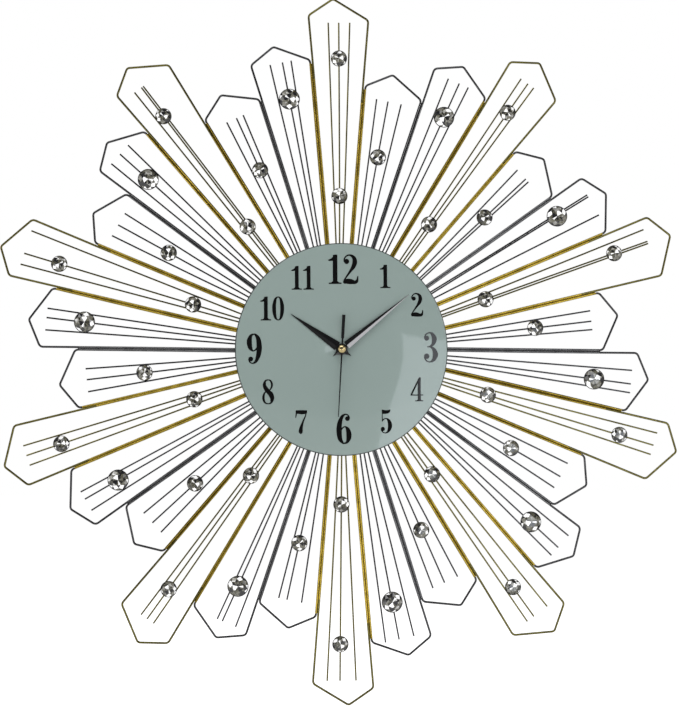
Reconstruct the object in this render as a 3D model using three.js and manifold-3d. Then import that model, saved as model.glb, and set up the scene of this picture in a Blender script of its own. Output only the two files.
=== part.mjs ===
// A sunburst wall clock: thirty bent-wire petals with glued crystals round a glass dial,
// and a quartz movement behind it that turns the three hands.
//
// Millimetres. +Z is up, the dial faces -Y, and the wall is the plane y = 0. The origin is
// where the axis of the hands meets the wall. A "standoff" is a distance from the wall,
// and a "bearing" is an angle clockwise from twelve o'clock, in degrees.

import * as THREE from 'three';
import { mergeVertices } from 'three/addons/utils/BufferGeometryUtils.js';
import Module from 'manifold-3d';

const wasm = await Module();
wasm.setup();

// ---- Driving dimensions ----

// The clearance round a piece inside another, and between pieces stacked along the axis
const GAP = 0.3;
const PLAY = 0.2;

// Petals. Wires and rays are given by their diameter.
const PETAL_PITCH = 12;
const SECTOR = 3 * PETAL_PITCH;
const OUTLINE_WIRE = 2.1;
const RAY_WIRE = 1.6;
const BAND_PITCH = 2.4;
const DIAL_EDGE = 103;
const ROOT_RADIUS = 68;
const ROOT_TAB_HEIGHT = 6;
const ROOT_TAB_SHEET = 1.2;
const RAY_ROOT_SPACING = 2.2;
const SHOULDER_BEND = 5;
const PEAK_BEND = 4;
const CRYSTAL_HEIGHT = 4.6;
const CRYSTAL_TABLE = 0.6;

// Standoffs, from the wall to the front
const CASE_SPLIT = 9;
const CASE_FRONT = 18;
const PAN_BACK = 19.4;
const PAN_FRONT = 26.9;
const GLASS_BACK = 27.2;
const GLASS_FRONT = 31.2;
const HOUR_HAND = [32, 32.8];
const MINUTE_HAND = [34.4, 35.2];
const SECOND_HAND = [37, 37.5];
const BOSS = [37.7, 40.3];

// Dial, pan and fixings
const SHEET = 1.2;
const PAN_RADIUS = 98;
const PAN_FLANGE = 12;
const DIAL_RADIUS = 105;
const DIAL_HOLE = 4.8;
const BUSHING_RADIUS = 4;
const BUSHING_BORE = 2.8;
const BUSHING_FRONT = 30;
const RUBBER_WASHER_RADIUS = 11;
const BRASS_WASHER = { radius: 8, thickness: 0.6 };
const NUT = { flats: 11, height: 2.2 };

// Hanger: a channel standing on two feet, with a keyhole whose head is below its slot
const HANGER = { width: 24, foot: 6, face: 3, from: 34, length: 26 };
const KEYHOLE = { headRadius: 4.5, headHeight: 44, slotRadius: 2.2, slotHeight: 53 };

// Movement case
const CASE_SIZE = 56;
const CASE_WALL = 1.2;
const CASE_CORNER = 4;
const BAY_FLOOR = -10.4;
const BATTERY_BAY_TOP = -11.4;
const BATTERY_RADIUS = 7.25;
const BATTERY_LENGTH = 50.5;
const BATTERY_AXIS = { z: -19.1, standoff: 8.6 };
const BATTERY_BUTTON = 2.7;
const COVER_SHEET = 1;
const CONTACT_SHEET = 0.5;

// Setting knob, and the pocket it sits in
const KNOB = { radius: 6, reach: [0.4, 2.4], flutes: 20, pocket: 6.5, pocketDepth: 2.9 };

// Drive: the coil lies on its core across the legs of the stator
const COIL = { z: 22.5, standoff: 5, radius: 3, from: -11, to: 6.5 };
const CORE = { thickness: [3.4, 4.2], halfWidth: 1 };
const STATOR = { left: -16, right: 11.5, leg: 3.5, low: 10.2, high: 19.4, top: 25.5, reach: [2.4, 3.2] };
const STATOR_HOLE = 3.5;
const MAGNET = { radius: 3, reach: [1.8, 4.6] };
const BOARD = { x: [12.5, 25.5], reach: [13, 13.8], z: [16, 25.5] };
const CRYSTAL_CAN = { radius: 1, length: 6, x: 18.5, standoff: 12.1, z: 21 };

// Gear train: axes in the plane of the dial, [x, z], the hands' axis being [0, 0]
const HANDS_AXIS = [0, 0];
const THIRD_AXIS = [-8.85, 6.19];
const FIFTH_AXIS = [0, 9];
const ROTOR_AXIS = [5.5, 14.8];
const SETTING_AXIS = [11.3, -0.5];
const ARBOR = 0.5;
const SETTING_ARBOR = 0.8;
const PIVOT_PLAY = 0.25;
const PIVOT_DEPTH = 0.7;
const TRAIN_PLATE = { reach: [8.6, 9.2], half: 26.5, low: -10.1, high: 18.9, axisHole: 1.1 };

// Layers of the train, from the wall side to the dial side
const LAYER = {
  fifth: [5.3, 6.2],
  second: [7.4, 8.3],
  third: [9.6, 10.4],
  centre: [11.5, 12.4],
  cannon: [13.5, 14.5],
  hour: [15.3, 16.3],
};

// Teeth, wheel and the pinion that it meshes with
const TEETH = {
  rotorPinion: 6, fifthWheel: 30,
  fifthPinion: 6, secondWheel: 36,
  secondPinion: 6, thirdWheel: 45,
  thirdPinion: 6, centreWheel: 48,
  cannonPinion: 8, settingWheel: 24,
  settingPinion: 6, hourWheel: 24,
};
const ADDENDUM = 0.7;
const DEDENDUM = 0.95;
const TOOTH_ROOT_SHARE = 0.33;

// Tubes on the hands' axis
const SECOND_ARBOR = 0.5;
const MINUTE_TUBE = [0.8, 1.6];
const HOUR_TUBE = [1.9, 2.5];

// Hands: their blades, and their bearings at rest
const HOUR_BLADE = { length: 61, halfWidth: 4.7, bearing: 305 };
const MINUTE_BLADE = { length: 85.5, halfWidth: 4, bearing: 51.3 };
const BLADE_TIP = 0.3;
const HAND_BOSS = 5.6;
const TAIL = { base: [2.7, -5], waist: [1.1, -7.6], tip: 11.4, point: 0.15 };
const NEEDLE = { root: 0.8, tip: 0.4, length: 67, boss: 5, bearing: 183.5 };
const COUNTERWEIGHT = { neck: 0.8, near: 1.45, far: 1.6, from: 10.6, to: 33.8 };
const DOME = { radius: 4, skirt: 0.4 };

const FINE_SIDES = 48;
const ROUND_SIDES = 24;
const SMALL_SIDES = 12;
const FINE_BORE_SIDES = 16;
const PIVOT_SIDES = 8;
const WIRE_SIDES = 5;
const RAY_SIDES = 4;
const CRYSTAL_SIDES = 8;

const FINISH = {
  gold: { color: 0xb8973a, roughness: 0.3, metalness: 1 },
  gunmetal: { color: 0x6b6b6d, roughness: 0.35, metalness: 1 },
  glassDial: { color: 0x90a09a, roughness: 0.08, metalness: 0 },
  blackPaint: { color: 0x0c0c0d, roughness: 0.25, metalness: 0 },
  zincSteel: { color: 0xa9abad, roughness: 0.4, metalness: 1 },
  blackSteel: { color: 0x1d1d1e, roughness: 0.5, metalness: 0.6 },
  brass: { color: 0xc9a94f, roughness: 0.25, metalness: 1 },
  blackPlastic: { color: 0x161617, roughness: 0.55, metalness: 0 },
  clearPlastic: { color: 0xe6e4da, roughness: 0.4, metalness: 0 },
  rubber: { color: 0x202020, roughness: 0.9, metalness: 0 },
  copper: { color: 0xa8552b, roughness: 0.4, metalness: 1 },
  board: { color: 0x23603a, roughness: 0.6, metalness: 0 },
  batteryWrap: { color: 0x2c4f8c, roughness: 0.35, metalness: 0.3 },
};

// The line between two neighbouring petals, where their side wires run side by side: its
// bearing at the dial's edge and at the radius of the shoulder where the pair parts.
const BANDS = {
  goldShort: { inner: 6.46, outer: 5.56, shoulder: 262 },
  shortLong: { inner: 18, outer: 18.6, shoulder: 260 },
  longGold: { inner: 29.06, outer: 30.6, shoulder: 287 },
};

// Each kind of petal in its own frame: x across, clockwise positive, and y outwards. Every
// petal is finished by hand, so each has its own rays, given by where their three ends are
// across it. The crystals are glued to the middle ray, at the same distances out on a kind.
const PETAL_KINDS = [
  {
    name: 'gold', bearing: 0, finish: FINISH.gold,
    left: BANDS.longGold, right: BANDS.goldShort,
    leftShoulder: 333.3, peak: [-5, 349.8], rightShoulder: 328.3,
    rayEnd: 326, crystalRadius: 8, crystalsAt: [290, 152.7],
    rays: [
      [-10, 0.5, 11.5],
      [-11, -2.6, 4.5],
      [-19, -6.6, -4.4],
      [-17, -4.3, 5.3],
      [-14, 2.5, 10.7],
      [-12.5, 3.3, 16],
      [-6.6, 1, 8.2],
      [-11.5, -1.5, 8.5],
      [-15.6, -4.3, 19],
      [-13.4, -5, -2.8],
    ],
  },
  {
    name: 'short', bearing: PETAL_PITCH, finish: FINISH.gunmetal,
    left: BANDS.goldShort, right: BANDS.shortLong,
    leftShoulder: 262.7, peak: [-4, 279], rightShoulder: 260,
    rayEnd: 252, crystalRadius: 8, crystalsAt: [195],
    rays: [
      [-15, -3.4, 10],
      [-13.7, -1.5, 2.4],
      [-11.5, -1, 7.4],
      [-13.7, 1.3, 13.8],
      [-12.6, 1.6, 14.3],
      [-12, 2.7, 11],
      [-13.2, -0.7, 12],
      [-13.7, -1.8, 9],
      [-14, -1.8, 11.3],
      [-9.8, 0.7, 8],
    ],
  },
  {
    name: 'long', bearing: 2 * PETAL_PITCH, finish: FINISH.gunmetal,
    left: BANDS.shortLong, right: BANDS.longGold,
    leftShoulder: 295, peak: [-0.7, 308.5], rightShoulder: 288.3,
    rayEnd: 291.5, crystalRadius: 10.3, crystalsAt: [254],
    rays: [
      [-9.7, 2.2, 12],
      [-9.2, -7, 14],
      [-8.6, 5, 13.8],
      [-12.5, 3, 13.3],
      [-9.7, 5.3, 19],
      [-14, 0.2, 5.6],
      [-12.2, 0.5, 8.7],
      [-9.4, 2.8, 12],
      [-13.4, -0.6, 11.3],
      [-7.7, 4.8, 13.6],
    ],
  },
];

const radians = THREE.MathUtils.degToRad;

// ---- Solids ----

// A geometry as one indexed skin of positions, without the collapsed faces at a pole.
function welded(geometry) {
  const bare = new THREE.BufferGeometry();
  bare.setAttribute('position', geometry.getAttribute('position').clone());
  bare.setIndex(geometry.getIndex());
  const skin = mergeVertices(bare, 1e-4);
  const corners = Array.from(skin.getIndex().array);
  const kept = [];
  for (let i = 0; i < corners.length; i += 3) {
    const [a, b, c] = corners.slice(i, i + 3);
    if (a !== b && b !== c && c !== a) kept.push(a, b, c);
  }
  skin.setIndex(kept);
  return skin;
}

function toSolid(geometry) {
  const skin = welded(geometry);
  return new wasm.Manifold(new wasm.Mesh({
    numProp: 3,
    vertProperties: Float32Array.from(skin.getAttribute('position').array),
    triVerts: Uint32Array.from(skin.getIndex().array),
  }));
}

function toGeometry(solid) {
  const mesh = solid.getMesh();
  const geometry = new THREE.BufferGeometry();
  geometry.setAttribute('position', new THREE.BufferAttribute(mesh.vertProperties, 3));
  geometry.setIndex(new THREE.BufferAttribute(mesh.triVerts, 1));
  return geometry;
}

function join(...geometries) {
  return toGeometry(geometries.map(toSolid).reduce((whole, next) => whole.add(next)));
}

function cut(geometry, ...tools) {
  return toGeometry(tools.map(toSolid).reduce((whole, tool) => whole.subtract(tool), toSolid(geometry)));
}

// A flat sheet in the plane of the dial, its shape's y turned up to Z, between two standoffs.
function sheet(shape, [near, far]) {
  const sweep = { depth: far - near, bevelEnabled: false, curveSegments: 6 };
  const geometry = new THREE.ExtrudeGeometry(shape, sweep);
  geometry.rotateX(Math.PI / 2);
  geometry.translate(0, -near, 0);
  return geometry;
}

// A round bar along the hands' direction, between two standoffs.
function bar(radius, [near, far], sides = SMALL_SIDES) {
  return new THREE.CylinderGeometry(radius, radius, far - near, sides).translate(0, -(near + far) / 2, 0);
}

// A tube along the hands' direction.
function tube([bore, radius], [near, far], sides = SMALL_SIDES) {
  return turned([[bore, near], [radius, near], [radius, far], [bore, far]], sides);
}

// A piece turned about the hands' direction, from [radius, standoff] corners. A profile off
// the axis is closed on itself.
function turned(corners, sides) {
  const profile = corners.map(([radius, standoff]) => new THREE.Vector2(radius, -standoff));
  if (THREE.ShapeUtils.isClockWise(profile)) profile.reverse();
  if (profile.every((point) => point.x > 0)) profile.push(profile[0].clone());
  return welded(new THREE.LatheGeometry(profile, sides));
}

function block([x0, x1], [near, far], [z0, z1]) {
  return new THREE.BoxGeometry(x1 - x0, far - near, z1 - z0)
    .translate((x0 + x1) / 2, -(near + far) / 2, (z0 + z1) / 2);
}

function polygon(corners) {
  return new THREE.Shape(corners.map(([x, y]) => new THREE.Vector2(x, y)));
}

function roundedSquare(size, corner) {
  const half = size / 2;
  const inner = half - corner;
  const shape = new THREE.Shape();
  shape.absarc(inner, inner, corner, 0, Math.PI / 2);
  shape.absarc(-inner, inner, corner, Math.PI / 2, Math.PI);
  shape.absarc(-inner, -inner, corner, Math.PI, 1.5 * Math.PI);
  shape.absarc(inner, -inner, corner, 1.5 * Math.PI, 2 * Math.PI);
  return shape;
}

function circle(radius, [x, z] = [0, 0], sides = SMALL_SIDES) {
  const points = [];
  for (let i = 0; i < sides; i += 1) {
    const angle = (2 * Math.PI * i) / sides;
    points.push(new THREE.Vector2(x + radius * Math.cos(angle), z + radius * Math.sin(angle)));
  }
  return new THREE.Path(points);
}

function piece(name, finish, geometry, [x, z] = [0, 0]) {
  geometry.computeVertexNormals();
  const mesh = new THREE.Mesh(geometry, new THREE.MeshStandardMaterial(finish));
  mesh.name = name;
  mesh.position.set(x, 0, z);
  return mesh;
}

// ---- Petals ----

// A rod that is straight between its points, with one step of the sweep to each of them.
class BentRod extends THREE.Curve {
  constructor(points, standoff) {
    super();
    this.points = points.map((point) => new THREE.Vector3(point.x, -standoff, point.y));
  }

  getPoint(t) {
    const place = THREE.MathUtils.clamp(t, 0, 1) * (this.points.length - 1);
    const step = Math.min(Math.floor(place), this.points.length - 2);
    return this.points[step].clone().lerp(this.points[step + 1], place - step);
  }

  getUtoTmapping(u) {
    return u;
  }

  sweep(diameter, sides) {
    const section = new THREE.Shape(circle(diameter / 2, [0, 0], sides).getPoints());
    return new THREE.ExtrudeGeometry(section, { steps: this.points.length - 1, extrudePath: this });
  }
}

// Points of the arc that rounds the corner between two straights.
function bend(before, corner, after, radius, steps = 2) {
  const back = before.clone().sub(corner).normalize();
  const on = after.clone().sub(corner).normalize();
  const half = Math.acos(back.dot(on)) / 2;
  const centre = corner.clone().addScaledVector(back.clone().add(on).normalize(), radius / Math.sin(half));
  const start = corner.clone().addScaledVector(back, radius / Math.tan(half));
  const turn = Math.sign(on.cross(back)) * (Math.PI - 2 * half);
  const points = [];
  for (let i = 0; i <= steps; i += 1) points.push(start.clone().rotateAround(centre, (turn * i) / steps));
  return points;
}

// The centre line of a petal's side wire, which runs beside its band: a point at a height y.
function sideWire(band, kind, side) {
  const place = (bearing, radius) => {
    const local = THREE.MathUtils.euclideanModulo(bearing - kind.bearing + SECTOR / 2, SECTOR) - SECTOR / 2;
    return new THREE.Vector2(Math.sin(radians(local)), Math.cos(radians(local))).multiplyScalar(radius);
  };
  const from = place(band.inner, DIAL_EDGE);
  const along = place(band.outer, band.shoulder).sub(from).normalize();
  from.add(new THREE.Vector2(along.y, -along.x).multiplyScalar((-side * BAND_PITCH) / 2));
  return (y) => from.clone().addScaledVector(along, (y - from.y) / along.y);
}

function petalOutline(kind) {
  const left = sideWire(kind.left, kind, -1);
  const right = sideWire(kind.right, kind, 1);
  const rootLeft = left(ROOT_RADIUS);
  const shoulderLeft = left(kind.leftShoulder);
  const peak = new THREE.Vector2(...kind.peak);
  const shoulderRight = right(kind.rightShoulder);
  const rootRight = right(ROOT_RADIUS);
  const wire = [
    rootLeft,
    ...bend(rootLeft, shoulderLeft, peak, SHOULDER_BEND),
    ...bend(shoulderLeft, peak, shoulderRight, PEAK_BEND),
    ...bend(peak, shoulderRight, rootRight, SHOULDER_BEND),
    rootRight,
  ];
  const tabTop = ROOT_RADIUS + ROOT_TAB_HEIGHT;
  return { wire, tab: [rootLeft, rootRight, right(tabTop), left(tabTop)] };
}

// A faceted crystal with a flat back and a flat table.
function crystal([x, y], radius, back) {
  return turned([
    [0, back], [radius, back],
    [radius * CRYSTAL_TABLE, back + CRYSTAL_HEIGHT], [0, back + CRYSTAL_HEIGHT],
  ], CRYSTAL_SIDES).translate(x, 0, y);
}

// One petal: its outline wire and three rays welded to a root tab, with its crystals glued
// to the middle ray.
function petal(kind, rayTips) {
  const standoff = PAN_BACK - PLAY - OUTLINE_WIRE / 2;
  const { wire, tab } = petalOutline(kind);
  const rayRoot = ROOT_RADIUS + ROOT_TAB_HEIGHT / 2;
  const tabMiddle = tab.reduce((sum, corner) => sum + corner.x, 0) / tab.length;
  const rays = rayTips.map((tip, i) => [
    new THREE.Vector2(tabMiddle + (i - 1) * RAY_ROOT_SPACING, rayRoot),
    new THREE.Vector2(tip, kind.rayEnd),
  ]);
  const [root, tip] = rays[1];
  const crystals = kind.crystalsAt.map((y) => {
    const x = THREE.MathUtils.mapLinear(y, root.y, tip.y, root.x, tip.x);
    return crystal([x, y], kind.crystalRadius, standoff + RAY_WIRE / 4);
  });
  return join(
    new BentRod(wire, standoff).sweep(OUTLINE_WIRE, WIRE_SIDES),
    sheet(new THREE.Shape(tab), [standoff - ROOT_TAB_SHEET / 2, standoff + ROOT_TAB_SHEET / 2]),
    ...rays.map((ray) => new BentRod(ray, standoff).sweep(RAY_WIRE, RAY_SIDES)),
    ...crystals,
  );
}

function petals() {
  const group = new THREE.Group();
  for (const kind of PETAL_KINDS) {
    kind.rays.forEach((rayTips, i) => {
      const number = String(i + 1).padStart(2, '0');
      const mesh = piece(`${kind.name}_petal_${number}`, kind.finish, petal(kind, rayTips));
      mesh.rotation.y = radians(kind.bearing + i * SECTOR);
      group.add(mesh);
    });
  }
  return group;
}

// ---- Dial, pan and fixings ----

function dialPan() {
  return turned([
    [BUSHING_RADIUS + GAP, PAN_BACK], [PAN_RADIUS, PAN_BACK],
    [PAN_RADIUS, PAN_FRONT], [PAN_RADIUS - PAN_FLANGE, PAN_FRONT],
    [PAN_RADIUS - PAN_FLANGE, PAN_FRONT - SHEET], [PAN_RADIUS - SHEET, PAN_FRONT - SHEET],
    [PAN_RADIUS - SHEET, PAN_BACK + SHEET], [BUSHING_RADIUS + GAP, PAN_BACK + SHEET],
  ], ROUND_SIDES);
}

function dialGlass() {
  return tube([DIAL_HOLE, DIAL_RADIUS], [GLASS_BACK, GLASS_FRONT], FINE_SIDES);
}

function hexNut() {
  const back = PAN_BACK + SHEET + BRASS_WASHER.thickness + 2 * PLAY;
  const hexagon = new THREE.Shape(circle(NUT.flats / Math.sqrt(3), [0, 0], 6).getPoints());
  hexagon.holes.push(circle(BUSHING_RADIUS + GAP));
  return sheet(hexagon, [back, back + NUT.height]);
}

// A hat-section bracket with a keyhole for the screw in the wall.
function wallHanger() {
  const { width, foot, face, from, length } = HANGER;
  const { headRadius, headHeight, slotRadius, slotHeight } = KEYHOLE;
  const seat = PAN_BACK - GAP;
  const half = width / 2;
  const section = polygon([
    [-half - foot, seat], [-half - foot, seat - SHEET], [-half, seat - SHEET], [-half, face],
    [half, face], [half, seat - SHEET], [half + foot, seat - SHEET], [half + foot, seat],
    [half - SHEET, seat], [half - SHEET, face + SHEET], [SHEET - half, face + SHEET], [SHEET - half, seat],
  ].map(([x, standoff]) => [x, -standoff]));
  const channel = new THREE.ExtrudeGeometry(section, { depth: length, bevelEnabled: false })
    .translate(0, 0, from);
  const through = [face - SHEET, face + 2 * SHEET];
  const keyhole = join(
    bar(headRadius, through).translate(0, 0, headHeight),
    bar(slotRadius, through).translate(0, 0, slotHeight),
    block([-slotRadius, slotRadius], through, [headHeight, slotHeight]),
  );
  return cut(channel, keyhole);
}

function fixings() {
  const group = new THREE.Group();
  const panFace = PAN_BACK + SHEET;
  const boltClear = BUSHING_RADIUS + GAP;
  group.add(
    piece('dial_pan', FINISH.blackSteel, dialPan()),
    piece('dial_glass', FINISH.glassDial, dialGlass()),
    piece('wall_hanger', FINISH.zincSteel, wallHanger()),
    piece('rubber_washer', FINISH.rubber, tube(
      [boltClear, RUBBER_WASHER_RADIUS], [CASE_FRONT + PLAY, PAN_BACK - PLAY], ROUND_SIDES,
    )),
    piece('brass_washer', FINISH.brass, tube(
      [boltClear, BRASS_WASHER.radius], [panFace + PLAY, panFace + PLAY + BRASS_WASHER.thickness], ROUND_SIDES,
    )),
    piece('hex_nut', FINISH.brass, hexNut()),
    piece('threaded_bushing', FINISH.brass, tube(
      [BUSHING_BORE, BUSHING_RADIUS], [CASE_FRONT - CASE_WALL + PLAY / 2, BUSHING_FRONT], FINE_BORE_SIDES,
    )),
  );
  return group;
}

// ---- Movement case and power ----

const INNER = CASE_SIZE / 2 - CASE_WALL;

// The cavities that both halves of the case share: the gear bay and the battery bay.
function gearBay(reach) {
  return block([-INNER, INNER], reach, [BAY_FLOOR, INNER]);
}

function batteryBay(reach) {
  return block([-INNER, INNER], reach, [-INNER, BATTERY_BAY_TOP]);
}

function at([x, z], geometry) {
  return geometry.translate(x, 0, z);
}

function pivotHoles(axes, reach, radius = ARBOR + PIVOT_PLAY) {
  return axes.map((axis) => at(axis, bar(radius, reach, PIVOT_SIDES)));
}

function frontCase() {
  const roof = CASE_FRONT - CASE_WALL;
  const open = CASE_SPLIT - 1;
  return cut(
    sheet(roundedSquare(CASE_SIZE, CASE_CORNER), [CASE_SPLIT + GAP / 2, CASE_FRONT]),
    gearBay([open, roof]),
    batteryBay([open, roof]),
    bar(BUSHING_RADIUS + PLAY, [roof - 1, CASE_FRONT + 1], FINE_BORE_SIDES),
    ...pivotHoles([THIRD_AXIS], [roof - 1, roof + PIVOT_DEPTH]),
    ...pivotHoles([SETTING_AXIS], [roof - 1, roof + PIVOT_DEPTH], SETTING_ARBOR + PIVOT_PLAY),
  );
}

// The rear half: a flat back with a pocket for the setting knob, and a battery bay that is
// open to the back and closed by the sliding cover.
function rearCase() {
  const open = CASE_SPLIT + 1;
  const cupWall = 0.9;
  const cup = at(SETTING_AXIS, bar(
    KNOB.pocket + cupWall, [CASE_WALL / 2, KNOB.pocketDepth + cupWall], ROUND_SIDES,
  ));
  const shell = cut(
    sheet(roundedSquare(CASE_SIZE, CASE_CORNER), [0, CASE_SPLIT - GAP / 2]),
    gearBay([CASE_WALL, open]),
    batteryBay([-1, open]),
    block([-INNER, INNER], [-1, CASE_WALL + 0.1], [-CASE_SIZE, -INNER + 1]),
  );
  return cut(
    join(shell, cup),
    at(SETTING_AXIS, bar(KNOB.pocket, [-1, KNOB.pocketDepth], ROUND_SIDES)),
    ...pivotHoles([SETTING_AXIS], [1, KNOB.pocketDepth + 2], SETTING_ARBOR + PIVOT_PLAY),
    ...pivotHoles([HANDS_AXIS, THIRD_AXIS, FIFTH_AXIS, ROTOR_AXIS], [CASE_WALL - PIVOT_DEPTH, CASE_WALL + 1]),
  );
}

function trainPlate() {
  const { reach, half, low, high, axisHole } = TRAIN_PLATE;
  const plate = polygon([[-half, low], [half, low], [half, high], [-half, high]]);
  plate.holes.push(circle(axisHole, HANDS_AXIS), circle(SETTING_ARBOR + GAP, SETTING_AXIS));
  const pivots = [THIRD_AXIS, FIFTH_AXIS, ROTOR_AXIS];
  plate.holes.push(...pivots.map((axis) => circle(ARBOR + PIVOT_PLAY, axis, PIVOT_SIDES)));
  return sheet(plate, reach);
}

// An AA cell lying along X, its button to the right.
function battery() {
  const shoulder = 0.5;
  const body = BATTERY_LENGTH - 3 * shoulder;
  const end = BATTERY_RADIUS - shoulder;
  const cell = turned([
    [0, 0], [end, 0], [BATTERY_RADIUS, shoulder], [BATTERY_RADIUS, body - shoulder], [end, body],
    [BATTERY_BUTTON, body], [BATTERY_BUTTON, BATTERY_LENGTH], [0, BATTERY_LENGTH],
  ], ROUND_SIDES);
  return cell.rotateZ(Math.PI / 2).translate(-BATTERY_LENGTH / 2, -BATTERY_AXIS.standoff, BATTERY_AXIS.z);
}

function positiveContact() {
  const { z, standoff } = BATTERY_AXIS;
  const near = INNER - 2 * CONTACT_SHEET + PLAY / 2;
  const dimple = new THREE.CylinderGeometry(2, 2, 2 * CONTACT_SHEET, PIVOT_SIDES).rotateZ(Math.PI / 2);
  return join(
    block([near + PLAY, near + PLAY + CONTACT_SHEET], [standoff - 5, standoff + 5], [z - 4, z + 4]),
    dimple.translate(near + PLAY, -standoff, z),
  );
}

// A sprung leaf, bowed towards the cell.
function negativeContact() {
  const middle = BATTERY_AXIS.standoff;
  const reach = 6;
  const width = 9;
  const leaf = polygon([
    [-26.6, middle - reach], [-26.2, middle - reach], [-25.45, middle], [-26.2, middle + reach],
    [-26.6, middle + reach], [-25.85, middle],
  ].map(([x, standoff]) => [x, -standoff]));
  return new THREE.ExtrudeGeometry(leaf, { depth: width, bevelEnabled: false })
    .translate(0, 0, BATTERY_AXIS.z - width / 2);
}

// ---- Drive: circuit board, coil, stator ----

function stator() {
  const { left, right, leg, low, high, top } = STATOR;
  const yoke = polygon([
    [left, low], [right, low], [right, top], [right - leg, top], [right - leg, high],
    [left + leg, high], [left + leg, top], [left, top],
  ]);
  yoke.holes.push(circle(STATOR_HOLE, ROTOR_AXIS, FINE_BORE_SIDES));
  return sheet(yoke, STATOR.reach);
}

function coil() {
  const { z, standoff, radius, from, to } = COIL;
  const { thickness, halfWidth } = CORE;
  const winding = new THREE.CylinderGeometry(radius, radius, to - from, SMALL_SIDES)
    .rotateZ(Math.PI / 2)
    .translate((from + to) / 2, -standoff, z);
  const core = block([STATOR.left + 0.5, STATOR.right - 0.5], thickness, [z - halfWidth, z + halfWidth]);
  return join(winding, core);
}

function circuitBoard() {
  const { radius, length, x, standoff, z } = CRYSTAL_CAN;
  const can = new THREE.CylinderGeometry(radius, radius, length, SMALL_SIDES).rotateZ(Math.PI / 2);
  return join(block(BOARD.x, BOARD.reach, BOARD.z), can.translate(x, -standoff, z));
}

function movementCase() {
  const group = new THREE.Group();
  const coverBottom = -CASE_SIZE / 2 + 0.1;
  const cover = block([-INNER + GAP, INNER - GAP], [0.05, COVER_SHEET], [coverBottom, BATTERY_BAY_TOP - GAP]);
  group.add(
    piece('front_case', FINISH.blackPlastic, frontCase()),
    piece('rear_case', FINISH.blackPlastic, rearCase()),
    piece('battery_cover', FINISH.blackPlastic, cover),
    piece('battery', FINISH.batteryWrap, battery()),
    piece('positive_contact', FINISH.zincSteel, positiveContact()),
    piece('negative_contact', FINISH.zincSteel, negativeContact()),
    piece('train_plate', FINISH.clearPlastic, trainPlate()),
    piece('circuit_board', FINISH.board, circuitBoard()),
    piece('coil', FINISH.copper, coil()),
    piece('stator', FINISH.zincSteel, stator()),
  );
  return group;
}

// ---- Gear train ----

// The pitch radii of a driver and a driven gear that mesh across two axes.
function pitchRadii(driverTeeth, drivenTeeth, from, to) {
  const centres = Math.hypot(to[0] - from[0], to[1] - from[1]);
  const share = centres / (driverTeeth + drivenTeeth);
  return [driverTeeth * share, drivenTeeth * share];
}

const towards = (from, to) => Math.atan2(to[1] - from[1], to[0] - from[0]);

// A gear's outline: one pointed tooth to each pitch and a flat root between teeth. The first
// tooth stands at the angle given.
function gearShape(teeth, pitchRadius, firstTooth, bore = 0) {
  const toothModule = (2 * pitchRadius) / teeth;
  const tip = pitchRadius + ADDENDUM * toothModule;
  const root = pitchRadius - DEDENDUM * toothModule;
  const pitch = (2 * Math.PI) / teeth;
  const points = [];
  for (let i = 0; i < teeth; i += 1) {
    const middle = firstTooth + i * pitch;
    for (const [radius, offset] of [[root, -TOOTH_ROOT_SHARE], [tip, 0], [root, TOOTH_ROOT_SHARE]]) {
      const angle = middle + offset * pitch;
      points.push(new THREE.Vector2(radius * Math.cos(angle), radius * Math.sin(angle)));
    }
  }
  const shape = new THREE.Shape(points);
  if (bore > 0) shape.holes.push(circle(bore));
  return shape;
}

// Two gears in mesh: the driver has a tooth on the line of centres, and the driven a gap.
function meshedPair(driverTeeth, drivenTeeth, from, to, layer, bores = [0, 0]) {
  const [driverRadius, drivenRadius] = pitchRadii(driverTeeth, drivenTeeth, from, to);
  const line = towards(from, to);
  const gap = line + Math.PI + Math.PI / drivenTeeth;
  return [
    sheet(gearShape(driverTeeth, driverRadius, line, bores[0]), layer),
    sheet(gearShape(drivenTeeth, drivenRadius, gap, bores[1]), layer),
  ];
}

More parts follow.
